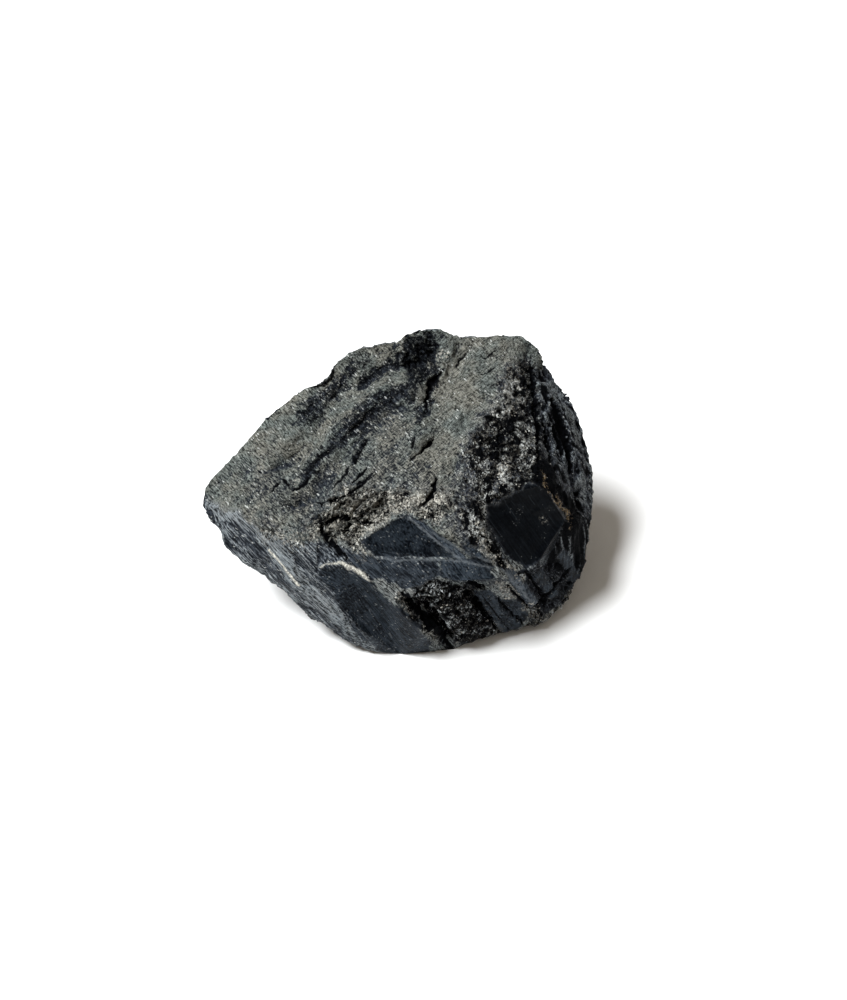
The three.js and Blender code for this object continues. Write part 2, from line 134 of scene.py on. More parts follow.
# A sliver of quartz, and patches of pale grains.
SLIVER = [(-12, -0.4), (-10.4, 0.3), (-8.6, 0.5), (-6.6, -0.2), (-5.2, -1.4), (-3.8, -2.8), (-5.4, -1.9),
          (-6.9, -0.9), (-8.8, 0.15), (-10.4, 0.05)]
PALE_PATCHES = [
    [(11.8, 3.8), (13.2, 3.9), (15.6, 0.7), (15, 0.2), (13.6, 1.4)],
    [(15.4, -2.6), (17.2, -2.8), (18.9, -4.6), (18.7, -5.8), (17.4, -5.5), (15.9, -4.4)],
    [(15.3, 14.8), (16, 16.2), (17.8, 17), (17.6, 14.5), (16, 12.7)],
    [(16.2, 24.4), (18.2, 24.6), (19.8, 23.6), (18, 23.2)],
    [(5.8, 33), (7.4, 33.8), (8.4, 32.6), (6.6, 32)],
    [(-16.8, 13), (-15.6, 13.4), (-15, 12.6), (-16, 12.2)],
    [(22.2, 6.9), (22.8, 7.3), (23.1, 6.6), (22.4, 6.3)],
    [(-0.2, -5), (1.2, -5), (2.2, -7.4), (0.8, -7.2)],
]

# Lines on the drawing plane, each with its width.
# Bare streaks are painted dark: partly bare stone without dust, partly painted shade on the steps' walls that
# face away from the light.
BARE_AND_SHADED_STREAKS = [
    ([(-14.6, 23.4), (-12.8, 25.3), (-10.8, 27.7), (-9.2, 29.5)], 2.9),
    ([(-9.2, 29.5), (-7.4, 31), (-4.5, 33.4), (-1, 34.4)], 1.9),
    ([(-14.4, 13.6), (-12.4, 16.3), (-10.8, 17.9), (-8.8, 19.9)], 1.8),
    ([(-8.8, 19.9), (-7.2, 21.5), (-5.6, 23.1), (-3.6, 25.1), (-1.2, 26)], 3.0),
    ([(-1.2, 26), (1.4, 26.8), (3.2, 29.4)], 2.2),
    ([(-5.6, 28.6), (-2.4, 30.4), (0.4, 32)], 1.6),
    ([(-6.8, 15.6), (-6, 17.3), (-5.2, 19)], 1.3),
    ([(4.6, 23.6), (4.7, 26.4), (5.5, 28.3), (7, 30)], 0.9),
    ([(15.2, 18.4), (17.2, 21), (18.6, 23.2)], 1.9),
    ([(20.6, 24), (21.2, 28), (20.4, 31.6)], 1.6),
    ([(3, 22), (5, 26), (6, 30)], 1.0),
]
PALE_CRUMBS = [
    ([(12.4, 5.8), (13.4, 3.6), (15.6, 1), (16.8, 0), (19.4, -2.2)], 0.9),
    ([(20.6, -6.8), (22, -8.2), (23, -9.6)], 1.8),
    ([(14, -12.6), (17.5, -11.8), (20.6, -10.6), (23.6, -9), (26.4, -7), (28.4, -4.4)], 1.0),
    ([(0.6, -4.4), (1.6, -6.4), (3.6, -9), (5.8, -11.8)], 0.8),
]
# The crevice is only painted dark, with no depth of its own here: painted shadow.
CREVICE = ([(0.9, -4.4), (2.6, -6.6), (4.7, -9), (7, -11.4), (8.6, -13.9)], 2.3)
RUST_VEIN = ([(22.6, 14.4), (23, 12), (24.3, 10.6), (25.2, 9.3), (26.4, 8.1), (27, 7.2), (26.9, 5.8)], 0.66)
QUARTZ_SEAM = ([(-19.9, 2.3), (-18.4, 0.6), (-15.4, -3.3)], 0.24)
# A painted highlight along the top's upper-left edge, laid into the dust layer.
HIGHLIGHT_RIM = ([(-26.4, 16.8), (-21.7, 21.9), (-17.7, 25.6), (-11.6, 29.1), (-8.4, 32.7), (-2, 35)], 2.2)
DUSTY_EDGE = ([(-28, 8.8), (-24.6, 7.8), (-21, 5.2), (-18.6, 1.4), (-15.4, -2.4), (-9.6, -8), (-4, -12.6)],
              2.2)

# How wide the dark stone along the rust vein is.
RUST_SIDE = 3.4

# Hollows in the outline: where each is, how wide and how deep.
NOTCHES = [((-12.2, 29.6), 3.4, 1.2), ((23.8, 30.4), 2.4, 0.8), ((26.6, 28.3), 3.8, 1.0)]

# Places on the top that are darker than the rest of it: where each is, and how wide.
DIM_SPOTS = [((-0.6, 18.4), 8), ((2.2, 21.6), 5), ((-10, 11), 5), ((-15, 11.2), 5), ((-20, 11.4), 5)]

# Painted highlights: thin light edges between the smooth faces at the front.
HIGHLIGHT_EDGES = [
    [(-3.3, 1.2), (0.3, 0.7), (5.4, 0.9), (9.9, 0.6), (14.6, -0.4)],
    [(1.9, 7.3), (6.7, 3.1), (9.9, 0.7)],
    [(5.4, 5), (10, 2.2), (14.3, 0.5)],
    [(15.7, -0.3), (18.4, -3), (20.9, -5.9)],
]

# Cracks and grooves: a line, how wide it is in its middle and how deep.
CRACKS = [
    ([(2.1, 16), (3.6, 17.3), (4.8, 18.4), (5.7, 19.4)], 0.34, 0.6),
    ([(2.2, 17.9), (2.7, 19.8)], 0.3, 0.4),
    ([(3.7, 9.2), (5.1, 10.4), (5.7, 11.7), (5.9, 13.2)], 0.7, 0.9),
    ([(4.5, 24), (4.6, 26.4), (5.4, 28.2), (7, 30.2)], 0.7, 0.7),
    ([(9.3, 30.7), (9.7, 31.9), (10.9, 33)], 0.26, 0.35),
    ([(13.4, 32.1), (14.2, 32.4), (15.4, 33.4)], 0.14, 0.2),
    ([(13, 29.6), (14, 29.8), (15.4, 30.9)], 0.16, 0.2),
    ([(-6.9, 15.6), (-5.9, 17.4), (-5.1, 19)], 0.9, 0.8),
    ([(-19.6, 11.5), (-18.3, 12.7)], 0.5, 0.5),
    ([(-17.9, 13.2), (-17, 12)], 0.45, 0.5),
    ([(-16.2, 11.6), (-14.8, 12), (-13.6, 13.4)], 0.6, 0.7),
    ([(-12.4, 9.3), (-10.8, 9.7), (-9.2, 10.3)], 0.8, 0.8),
    ([(-9.2, 10.3), (-6.9, 11.3), (-5.4, 12.4), (-3.2, 14)], 0.3, 0.4),
    ([(-11.9, 5.4), (-10.6, 6.8), (-9.2, 7.4), (-7.2, 7.3), (-5.3, 7.6)], 0.65, 0.8),
    ([(-8.4, 4.9), (-7.5, 6), (-7.1, 7.2)], 0.7, 0.9),
    ([(-3.9, 8.1), (-2.6, 9.1), (-1.7, 10)], 0.65, 0.7),
    ([(-6.9, 12.8), (-5.8, 13.6), (-4.8, 14.8)], 0.35, 0.4),
    ([(-6.4, 12.2), (-5, 13), (-3.8, 14.1)], 0.3, 0.3),
    ([(-10, 11.6), (-8.6, 13.2), (-7.3, 15.4)], 0.35, 0.4),
    ([(-9.2, 8.6), (-7.9, 9.9)], 0.5, 0.6),
    ([(-7, 7.4), (-5.3, 6.5), (-3.6, 6.5)], 0.5, 0.6),
    ([(-11.7, 6.4), (-10.9, 4.5), (-9.8, 2.7), (-7.8, 1)], 1.3, 1.1),
    ([(12.8, 4.8), (14.4, 2.9), (16.1, 0.6)], 0.6, 0.5),
    ([(11.6, -4.8), (14, -8.2), (16.5, -11.8)], 0.6, 0.6),
    ([(13, -4.8), (17.8, -11)], 0.2, 0.2),
    ([(15.6, -5.4), (17.2, -7.2), (20, -9.8)], 0.6, 0.7),
    ([(17, -3.2), (19.2, -5.6), (21.2, -7.6)], 0.5, 0.5),
    ([(21.2, -7.4), (23.4, -5.2), (25.8, -3), (27.4, -0.4)], 0.5, 0.4),
    ([(20, -1.2), (22.4, -4.4), (23.4, -7)], 0.5, 0.5),
    ([(21.2, 31), (21.5, 26), (21.9, 20.6), (21.8, 15.8)], 0.9, 0.6),
    ([(24, 25.9), (25.3, 22.6), (26.4, 19.4), (27.2, 16)], 1.7, 0.9),
    ([(24.4, 22), (25.3, 19.3), (25.8, 16.8)], 1.1, 0.7),
    ([(22.6, 23), (23.2, 18.5), (24.4, 14.5)], 0.8, 0.6),
    ([(10, -2.9), (11.6, -3.3), (13.4, -3.5)], 1.7, 1.2),
]

# How many times the edges of the solid's triangles may be cut in half.
DIVIDING_ROUNDS = 5

# How far points may lie behind the foremost one and still be seen, and how far those lie that are hidden.
SEEN_DEPTH, HIDDEN_DEPTH = 6, 9

# Widths and lengths of what runs along an axis, broad ones and then narrow ones, in millimetres.
STEP_RIBS = (1.5, 9), (0.7, 4)
FIBRE_RIBS = (1.0, 12), (0.5, 7)
STRAND_RIBS = (1.3, 12), (0.6, 7)
PRISM_RIBS = (1.5, 14), (0.75, 9)
STROKE_RIBS = 0.5, 1.6
SPLINTER_RIBS = 0.9, 3.5

# Sizes of grains and lumps, heights of what stands out and depths of what lies back, in millimetres.
COARSE_GRAIN, FINE_GRAIN, GRAIN_AND_GAP, LUMP = 1.3, 0.75, 1.5, 3.0
STRIP_HEIGHT, WALL_STRIP_HEIGHT, DUSTY_EDGE_HEIGHT = 0.22, 0.3, 0.15
BARE_DEPTH, RUST_DEPTH = 0.4, 0.3

# How much of the grains' height each pattern gives on each kind of surface.
GRAIN_SHARES = {
    "sugary": {"coarse": 0.5, "fine": 0.8, "deep": -0.4},
    "crushed": {"coarse": 0.6, "fine": 0.6, "deep": -0.5},
    "splintered": {"splinters": 1.6, "fine": 0.5, "deep": -1.4},
    "hollow": {"coarse": 2.2, "fine": 0.8, "deep": -2, "level": -1},
    "rough_bands": {"fine": 0.3},
    "rough_front": {"coarse": 1.2, "fine": 0.9, "deep": -1, "level": -1},
    "corner": {"coarse": 0.6},
    "left": {"coarse": 0.5, "fine": 0.2},
    "under": {"coarse": 0.9, "fine": 0.4},
    "crumbs": {"coarse": 0.8, "fine": 0.8},
}

# Noises of the stone's material: scale in lumps a metre, detail and roughness.
GRIT, CLUMPS, CLOUD, PATCHES = (3300, 3, 0.75), (1900, 4, 0.8), (200, 3, 0.6), (420, 3, 0.6)

# Striations and scratches of the stone's material: axis, width and length in metres, and detail.
PRISM_LINES = PRISMS, 0.00028, 0.008, 4
SCRATCHES = PRISMS, 0.00022, 0.012, 1
LINES_BY_LAYER = {
    "fibrous": (FIBRES, 0.00024, 0.004, 3),
    "stroked": (STROKES, 0.0002, 0.001, 2),
    "stepped": (STEPS, 0.0002, 0.001, 2),
    "upright": (UPRIGHT, 0.00028, 0.005, 4),
}

# Grains and flecks of the stone's material: axis, width and length in metres.
CRYSTALS = UPRIGHT, 0.0002, 0.00034
FLECKS = STROKES, 0.00015, 0.0006
SCHORL_IOR = 1.64

# Large numbers that scramble a cell's place into three random numbers of its own.
HASH_AXES = np.array([73856093, 19349663, 83492791])
HASH_SEED = 2654435761
HASH_ROUNDS = (13, 1274126177), (16, 2246822519)
HASH_BITS = 0xFFFFFFFF
LOT_STEPS = 1023

# The layers of the chunk's mesh that its material reads.
MATERIAL_LAYERS = (
    "dusty", "pale", "dark", "light", "smooth", "black", "grainy", "bluish", "fibrous", "stroked", "stepped",
    "upright", "bare", "rusty", "seam", "edges",
)

# The inputs of the Geometry Nodes that lay small shapes on the chunk. Their settings have the same names.
SCATTER_INPUTS = {
    "Density": "NodeSocketFloat", "Seed": "NodeSocketInt", "Smallest": "NodeSocketFloat",
    "Largest": "NodeSocketFloat", "Lean": "NodeSocketFloat", "Sink": "NodeSocketFloat",
}


# ---------------------------------------------------------------------------------------------- numbers


def ramp(value, low, high):
    """0 below low, 1 above high, and smooth between them. It falls if high is below low."""
    t = np.clip((value - low) / (high - low), 0, 1)
    return t * t * (3 - 2 * t)


def highest(*values):
    """The highest of several values at each point."""
    return np.max(values, axis=0)


def along_line(points, line):
    """How far each point is from a line through several points, and its share of the way along it."""
    nearest = np.full(len(points), np.inf)
    reached = np.zeros(len(points))
    for i, (start, end) in enumerate(zip(line[:-1], line[1:])):
        start, step = np.array(start, float), np.array(end, float) - np.array(start, float)
        share = np.clip((points - start) @ step / (step @ step), 0, 1)
        distance = np.linalg.norm(points - start - share[:, None] * step, axis=1)
        reached = np.where(distance < nearest, (i + share) / (len(line) - 1), reached)
        nearest = np.minimum(nearest, distance)
    return nearest, reached


def on_line(points, line, width):
    """1 on a line of that width, 0 well beside it."""
    return ramp(along_line(points, line)[0], 0.8 * width, 0.3 * width)


def within(points, outline, blur):
    """1 inside an outline on the drawing plane, 0 outside it, over a blurred edge of that width."""
    corners = np.array(outline, float)
    inside = np.zeros(len(points), bool)
    for (x0, y0), (x1, y1) in zip(corners, np.roll(corners, -1, axis=0)):
        crosses = (y0 > points[:, 1]) != (y1 > points[:, 1])
        reach = (x1 - x0) * (points[:, 1] - y0) / ((y1 - y0) or 1e-9) + x0
        inside ^= crosses & (points[:, 0] < reach)
    distance = along_line(points, [*outline, outline[0]])[0]
    return ramp(np.where(inside, distance, -distance), -blur / 2, blur / 2)


def within_any(points, outlines, blur):
    """1 inside any of several outlines."""
    return highest(*(within(points, outline, blur) for outline in outlines))


def around(points, spot, width, core):
    """1 near a spot, as far as the core's share of the width, and 0 past the width."""
    return ramp(np.linalg.norm(points - spot, axis=1), width, core * width)


def smooth_noise(points, size, octaves=3, offset=0.0):
    """Smooth noise between about -1 and 1, with lumps of that size in millimetres."""
    scaled = points / size + offset
    return np.array([noise.fractal(p, 1.0, 2.0, octaves) for p in scaled])


def drawn_out(points, axis, width, length):
    """Points in which something one unit wide is that wide, and that long along the axis."""
    axis = np.array(axis)
    along = (points @ axis)[:, None] * axis
    return (points - along) / width + along / length


def ribs(points, axis, width, length):
    """Sharp-crested ribs between -1 and 1 that run along an axis."""
    return np.array([1 - 2.4 * abs(noise.noise(p)) for p in drawn_out(points, axis, width, length)])


def layered_ribs(points, axis, broad, narrow, shifts):
    """Broad ribs with narrow ones over them, each kind shifted so that it has a pattern of its own."""
    return 0.6 * ribs(points + shifts[0], axis, *broad) + 0.4 * ribs(points + shifts[1], axis, *narrow)


def cells(points, seed):
    """The grain each point is in: the offset from its middle, its three numbers and how near its edge is."""
    home = np.floor(points).astype(np.int64)
    nearest = np.full(len(points), np.inf)
    second = np.full(len(points), np.inf)
    offset = np.zeros((len(points), 3))
    lot = np.zeros((len(points), 3))
    for neighbour in np.ndindex(3, 3, 3):
        cell = home + np.array(neighbour) - 1
        code = cell @ HASH_AXES + seed * HASH_SEED
        for shift, factor in HASH_ROUNDS:
            code = (code ^ (code >> shift)) * factor & HASH_BITS
        numbers = np.stack([code >> shift & LOT_STEPS for shift in (0, 10, 20)], axis=1) / LOT_STEPS
        step = points - cell - 0.1 - 0.8 * numbers
        distance = np.linalg.norm(step, axis=1)
        nearer = distance < nearest
        second = np.where(nearer, nearest, np.minimum(second, distance))
        nearest = np.where(nearer, distance, nearest)
        offset[nearer] = step[nearer]
        lot[nearer] = numbers[nearer]
    return offset, lot, second - nearest


def facets(points, seed, tilt=1.2):
    """Grains with flat tops, each tilted its own way and standing out or back, between about -1 and 1."""
    offset, lot, _ = cells(points, seed)
    return tilt * ((lot[:, [1, 2, 0]] - 0.5) * 2 * offset).sum(axis=1) + (lot[:, 0] - 0.5)


def gaps(points, seed):
    """1 in the gaps between grains, 0 on them."""
    return ramp(cells(points, seed)[2], 0.26, 0.05)


# ---------------------------------------------------------------------------------------------- the chunk


def merged_solid():
    """The points, in millimetres, and the triangles of the solid, with its doubles merged."""
    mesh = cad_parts[NODE].data
    points = np.empty(len(mesh.vertices) * 3)
    mesh.vertices.foreach_get("co", points)
    points, which = np.unique(np.round(points.reshape(-1, 3) / MM, 4), axis=0, return_inverse=True)
    mesh.calc_loop_triangles()
    faces = np.empty(len(mesh.loop_triangles) * 3, np.int64)
    mesh.loop_triangles.foreach_get("vertices", faces)
    return points, which.ravel()[faces].reshape(-1, 3)


def edges_of(faces):
    """The edges of some triangles, and for each triangle the number of the edge after each corner."""
    sides = np.sort(np.concatenate([faces[:, [0, 1]], faces[:, [1, 2]], faces[:, [2, 0]]]), axis=1)
    edges, which = np.unique(sides, axis=0, return_inverse=True)
    return edges, which.reshape(3, -1).T


def divided(points, faces, longest, rounds):
    """The same surface with its edges cut in half, until each is no longer than longest() says there."""
    for _ in range(rounds):
        edges, which = edges_of(faces)
        length = np.linalg.norm(points[edges[:, 0]] - points[edges[:, 1]], axis=1)
        middles = points[edges].mean(axis=1)
        cut = length > longest(middles)
        number = np.cumsum(cut) - 1 + len(points)
        points = np.concatenate([points, middles[cut]])
        marks = cut[which]
        count = marks.sum(axis=1)
        # Each triangle is turned so that its cuts, where it has one or two, are on its first edges.
        after_whole = np.where(count == 2, (marks.argmin(axis=1) + 1) % 3, 0)
        first = np.where(count == 1, marks.argmax(axis=1), after_whole)
        turn = (first[:, None] + np.arange(3)) % 3
        corners = np.take_along_axis(faces, turn, axis=1)
        halves = np.take_along_axis(number[which], turn, axis=1)
        parts = [faces[count == 0]]
        (a, b, c), (ab, _, _) = corners[count == 1].T, halves[count == 1].T
        parts += [np.stack(f, axis=1) for f in ((a, ab, c), (ab, b, c))]
        (a, b, c), (ab, bc, _) = corners[count == 2].T, halves[count == 2].T
        parts += [np.stack(f, axis=1) for f in ((ab, b, bc), (a, ab, bc), (a, bc, c))]
        (a, b, c), (ab, bc, ca) = corners[count == 3].T, halves[count == 3].T
        parts += [np.stack(f, axis=1) for f in ((a, ab, ca), (ab, b, bc), (ca, bc, c), (ab, bc, ca))]
        faces = np.concatenate(parts)
    return points, faces


def vertex_normals(points, faces):
    """The unit normal at each point, weighted by the areas of the faces around it."""
    a, b, c = points[faces[:, 0]], points[faces[:, 1]], points[faces[:, 2]]
    flat = np.cross(b - a, c - a)
    normals = np.zeros_like(points)
    for corner in range(3):
        np.add.at(normals, faces[:, corner], flat)
    return normals / np.linalg.norm(normals, axis=1)[:, None]


def blurred(values, faces, rounds):
    """Values at the points, each averaged with its neighbours' that many times."""
    edges = edges_of(faces)[0]
    count = np.bincount(edges.ravel(), minlength=len(values)).reshape((-1,) + (1,) * (values.ndim - 1))
    for _ in range(rounds):
        total = np.zeros_like(values)
        np.add.at(total, edges[:, 0], values[edges[:, 1]])
        np.add.at(total, edges[:, 1], values[edges[:, 0]])
        values = 0.5 * values + 0.5 * total / count
    return values


def on_plane(points):
    """The points' places on the drawing plane."""
    up = points[:, 1] * math.sin(LOOK_DOWN) + points[:, 2] * math.cos(LOOK_DOWN)
    return np.stack([points[:, 0], up], axis=1)


def in_front(points, plan):
    """1 for the points nearest to the viewer at their place on the drawing plane, 0 well behind them."""
    depth = points @ TOWARDS_VIEWER
    cell = np.floor(plan).astype(int)
    column, row = (cell - cell.min(axis=0)).T
    nearest = np.full((column.max() + 1, row.max() + 1), -np.inf)
    np.maximum.at(nearest, (column, row), depth)
    return ramp(nearest[column, row] - depth, HIDDEN_DEPTH, SEEN_DEPTH)


def edge_lengths(settings):
    """How long the edges may be at each place: short where the surface has fine detail."""
    fine, grainy, coarse = (share * settings.edge_length for share in (0.5, 0.85, 1.6))
    lines = [(line, width) for line, width, *_ in (*CRACKS, CREVICE, RUST_VEIN, QUARTZ_SEAM)]
    lines += [(line, 0.2) for line in HIGHLIGHT_EDGES]

    def longest(points):
        plan = on_plane(points)
        length = np.full(len(points), settings.edge_length)
        for name in ("granular", "sugary", "splintered", "rough_front", "wall"):
            length = np.where(within(plan, *AREAS[name]) > 0.5, grainy, length)
        length = np.where(within(plan, SLIVER, 1.0) > 0, fine, length)
        for line, width in lines:
            length = np.where(along_line(plan, line)[0] < 0.7 * width + 0.1, fine, length)
        hidden = (points[:, 1] > 8) & (points[:, 2] < 20) | (points[:, 2] < 1.5)
        return np.where(hidden, coarse, length)

    return longest


def regions(points, normals):
    """How much each point belongs to each kind of surface, from 0 to 1."""
    plan = on_plane(points)
    wander = np.stack([smooth_noise(points, 1.6, 2, shift) for shift in (0, 31.7)], axis=1)
    jags = np.stack([smooth_noise(points, 0.8, 2, shift) for shift in (7.3, 51.2)], axis=1)
    loose = plan + 0.6 * wander
    seen = ramp(normals @ TOWARDS_VIEWER, -0.2, 0.02) * in_front(points, plan)
    where = SimpleNamespace()
    for name, (outline, blur) in AREAS.items():
        place = plan + 1.1 * wander + 0.5 * jags if blur > 2 else loose if blur > 0.5 else plan
        setattr(where, name, seen * within(place, outline, blur))
    where.slate = seen * within_any(plan, SLATE_STRIPS, STRIP_BLUR)
    where.strips = np.maximum(where.slate, seen * within_any(plan, NAVY_STRIPS, STRIP_BLUR))
    where.wall_strips = within_any(plan + 0.2 * wander, WALL_STRIPS, STRIP_BLUR)
    where.pale = seen * within_any(plan + 0.4 * jags, PALE_PATCHES, 0.5)
    # Partly bare stone, partly painted shade.
    where.bare = seen * highest(*(
        ramp(along_line(loose + 0.6 * jags, line)[0], 1.05 * width, 0.1 * width)
        for line, width in BARE_AND_SHADED_STREAKS))
    where.crumbs = seen * highest(*(on_line(loose, *line) for line in PALE_CRUMBS))
    where.rust = seen * on_line(plan + 0.4 * jags, *RUST_VEIN)
    where.rust_side = seen * on_line(plan + 0.6 * jags, RUST_VEIN[0], RUST_SIDE)
    where.seam = seen * np.maximum(on_line(plan, *QUARTZ_SEAM), within(plan + 0.3 * jags, SLIVER, 0.3))
    # Painted highlights along the edges between the front's smooth faces.
    where.edges = seen * highest(*(on_line(plan + 0.15 * jags, line, 0.3) for line in HIGHLIGHT_EDGES))
    # Painted highlight along the top's upper-left edge.
    where.rim = seen * on_line(loose, *HIGHLIGHT_RIM)
    where.dusty_edge = seen * on_line(loose, *DUSTY_EDGE)
    where.notches = sum(depth * around(plan, spot, width, 0.2) for spot, width, depth in NOTCHES)
    where.dim = highest(*(around(plan, spot, width, 0.3) for spot, width in DIM_SPOTS))
    where.cracks = where.crack_depth = np.zeros(len(points))
    # Cracks and the crevice are painted dark: painted shade. The crevice gets no depth.
    for line, width, depth in (*CRACKS, (*CREVICE, 0)):
        distance, share = along_line(plan + min(0.45, 0.6 * width) * jags, line)
        width = width * (0.35 + 0.65 * np.sin(math.pi * share)) * (1 + 0.6 * wander[:, 0])
        cut = seen * ramp(distance, 0.6 * width + 0.08, 0.15 * width)
        where.cracks = np.maximum(where.cracks, cut)
        where.crack_depth = np.maximum(where.crack_depth, cut * depth)
    facet = highest(where.navy, where.bevel, where.glassy)
    worn = np.maximum(0.85 * where.slab, 0.6 * where.slate_front)
    where.smooth = highest(facet, where.tread, where.plate, where.strips, worn) * (1 - where.cracks)
    for name in ("granular", "sugary", "top"):
        setattr(where, name, getattr(where, name) * (1 - facet))
    where.top = where.top * (1 - where.sugary) * (1 - where.granular)
    where.wall = where.wall * (1 - where.sugary) * (1 - where.glassy)
    placed = highest(where.top, where.sugary, where.granular, where.bands, where.smooth, where.wall)
    rest = (1 - placed) * (1 - np.maximum(where.rough_front, where.corner))
    where.base = ramp(points[:, 2], 0.25, 0.02) * ramp(-normals[:, 2], 0.7, 0.95)
    where.under = rest * ramp(-normals[:, 2], 0.15, 0.6) * (1 - where.base)
    back = rest * (1 - where.under) * ramp(normals[:, 0] + 1.4 * normals[:, 1], 0.3, 0.7)
    where.back = back * (1 - where.wall)
    where.wall = np.maximum(where.wall, back)
    where.left = rest * (1 - where.under) * (1 - back) * (1 - where.base)
    where.crushed = where.granular * (1 - where.splintered)
    where.rough_bands = where.bands * (1 - where.smooth)
    return where


def patterns(points):
    """What the relief is made of: ribs, prisms, grains and the gaps between them."""
    made = SimpleNamespace(level=1)
    made.steps = layered_ribs(points, STEPS, *STEP_RIBS, (0, 40))
    made.fibres = layered_ribs(points, FIBRES, *FIBRE_RIBS, (0, 20))
    made.strands = layered_ribs(points, UPRIGHT, *STRAND_RIBS, (60, 0))
    made.strokes = ribs(points + 80, STROKES, *STROKE_RIBS)
    made.coarse = facets(points / COARSE_GRAIN, 1)
    made.fine = facets(points / FINE_GRAIN, 2)
    made.deep = gaps(points / GRAIN_AND_GAP + 0.25 * made.fine[:, None], 5)
    broad, narrow = (drawn_out(points, PRISMS, *size) for size in PRISM_RIBS)
    made.columns = facets(broad, 3) + 0.5 * facets(narrow, 4)
    made.cuts = gaps(broad + 0.1 * made.fine[:, None], 3)
    made.splinters = facets(drawn_out(points + 9, STEPS, *SPLINTER_RIBS), 6)
    made.lumps = smooth_noise(points, LUMP, 4)
    return made


def relief(where, made, settings):
    """How far each point moves out along its normal, in millimetres."""
    grain = settings.grain_height
    steps = settings.step_height * made.steps * (0.6 + where.bare) + settings.stroke_height * made.strokes
    steps += grain * (0.35 * made.coarse * (0.5 + where.bare) + 0.2 * made.fine)
    height = where.top * (1 - 0.7 * where.plain) * steps
    for name, shares in GRAIN_SHARES.items():
        grains = sum(share * getattr(made, pattern) for pattern, share in shares.items())
        height += getattr(where, name) * grain * grains
    height += settings.fibre_height * made.fibres * (where.rough_bands + 0.7 * where.left)
    wall = settings.prism_height * (1.5 * made.strands + 0.2 * made.columns) + 0.15 * made.lumps
    height += where.wall * wall
    height += 0.8 * where.corner * settings.prism_height * (made.columns - 0.7 * made.cuts)
    height += 0.3 * where.under * made.lumps
    height *= (1 - 0.93 * where.smooth) * (1 - 0.7 * where.rim)
    height = height * (1 - 0.7 * where.wall_strips) + WALL_STRIP_HEIGHT * where.wall_strips * where.wall
    height += STRIP_HEIGHT * where.strips + DUSTY_EDGE_HEIGHT * where.dusty_edge
    height -= where.bare * (BARE_DEPTH - grain * (0.5 * made.coarse + 0.4 * made.fine))
    height -= where.crack_depth * settings.crack_depth + where.notches
    height -= RUST_DEPTH * where.rust * (1 + made.fine)
    return height * (1 - where.base)


def gap_layer(where, made):
    """How much each point lies in a gap between grains, prisms or strands: painted shade."""
    grains = made.deep * highest(
        0.3 * where.granular, 0.6 * where.splintered, 0.3 * where.sugary, 0.7 * where.rough_front,
        0.8 * where.hollow, 0.6 * where.bare)
    # Painted shade in the furrows between the right wall's strands.
    furrows = ramp(made.strands, 0.55, 0.15) * (where.wall - 0.7 * where.back)
    gap = highest(grains, 0.6 * made.cuts * where.corner, furrows)
    return gap * (1 - where.wall_strips) * (1 - 0.9 * where.smooth)


def crest_layer(where, made):
    """How much each point lies on a crest of the right wall's strands or on its strips: painted highlight."""
    return where.wall * np.maximum(ramp(made.strands, 0.6, 0.85), 1.4 * where.wall_strips)


def dust_and_highlight_layer(where, look):
    """How much dust each point has, with painted highlight and shade: more so where it stands out from the
    points around it, on the rim and on the right wall's crests and strips, less where it lies back.
    """
    top = 0.85 * where.top * (1 - 0.92 * where.bare) * (1 - 0.85 * where.hollow) * (1 + 0.2 * where.plain)
    top = top * (1 - 0.22 * ramp(look.up, 19, 14)) * (1 - 0.4 * where.dim)
    bands = where.bands * (1 - 0.8 * where.slate_band) * (0.33 - 0.23 * ramp(look.across, -15, -10))
    dusty = highest(
        top, where.granular * (1 - 0.3 * where.dim), bands + 0.7 * where.dusty_edge, 0.75 * where.left,
        0.1 * where.wall + 0.3 * where.under + 0.1 * where.rough_front, 0.6 * where.crumbs, where.rim)
    # Painted highlight where the surface stands out, painted shade where it lies back.
    raised = 0.35 * ramp(look.prominence, 0.03, 0.3) - 0.5 * ramp(-look.prominence, 0.02, 0.25)
    # Painted highlight on the right wall's crests and strips.
    dusty = dusty * (1 + 0.25 * look.cloud) + raised + 0.45 * look.crests
    dusty *= 1 - where.sugary * (1 - 0.7 * look.patchy)
    return dusty * (1 - 0.9 * where.smooth) * (1 - where.cracks)


def pale_layer(where, look):
    """How many of the grains at each point are pale."""
    return highest(
        where.pale, 0.7 * where.crumbs, 0.15 * where.rough_front,
        0.85 * where.granular * (1 + 0.6 * look.cloud) * (0.3 + 0.7 * ramp(look.up, 14, 9)),
        where.sugary * (0.3 + 0.35 * ramp(look.up, 21, 26)))


def dark_layer(where, look):
    """How dark each point is: painted shade in cracks, the crevice, gaps and the hollow, and darker at the
    foot of the wall, beside the rust and in patches.
    """
    corner = 0.4 * where.corner * (1 - where.strips) * (1 - where.crumbs)
    sugary = where.sugary * np.maximum(0.75 * look.upright_patches * (1 - where.pale), 0.7 * where.bare)
    rust_side = 0.9 * where.rust_side * (1 - where.rust)
    foot = 0.7 * where.wall * ramp(look.up, 11, 5) * (1 - look.crests)
    dark = highest(where.cracks, 0.95 * look.gap, 0.45 * where.hollow, corner, sugary, rust_side, foot)
    return dark * (1 - 0.7 * where.smooth)


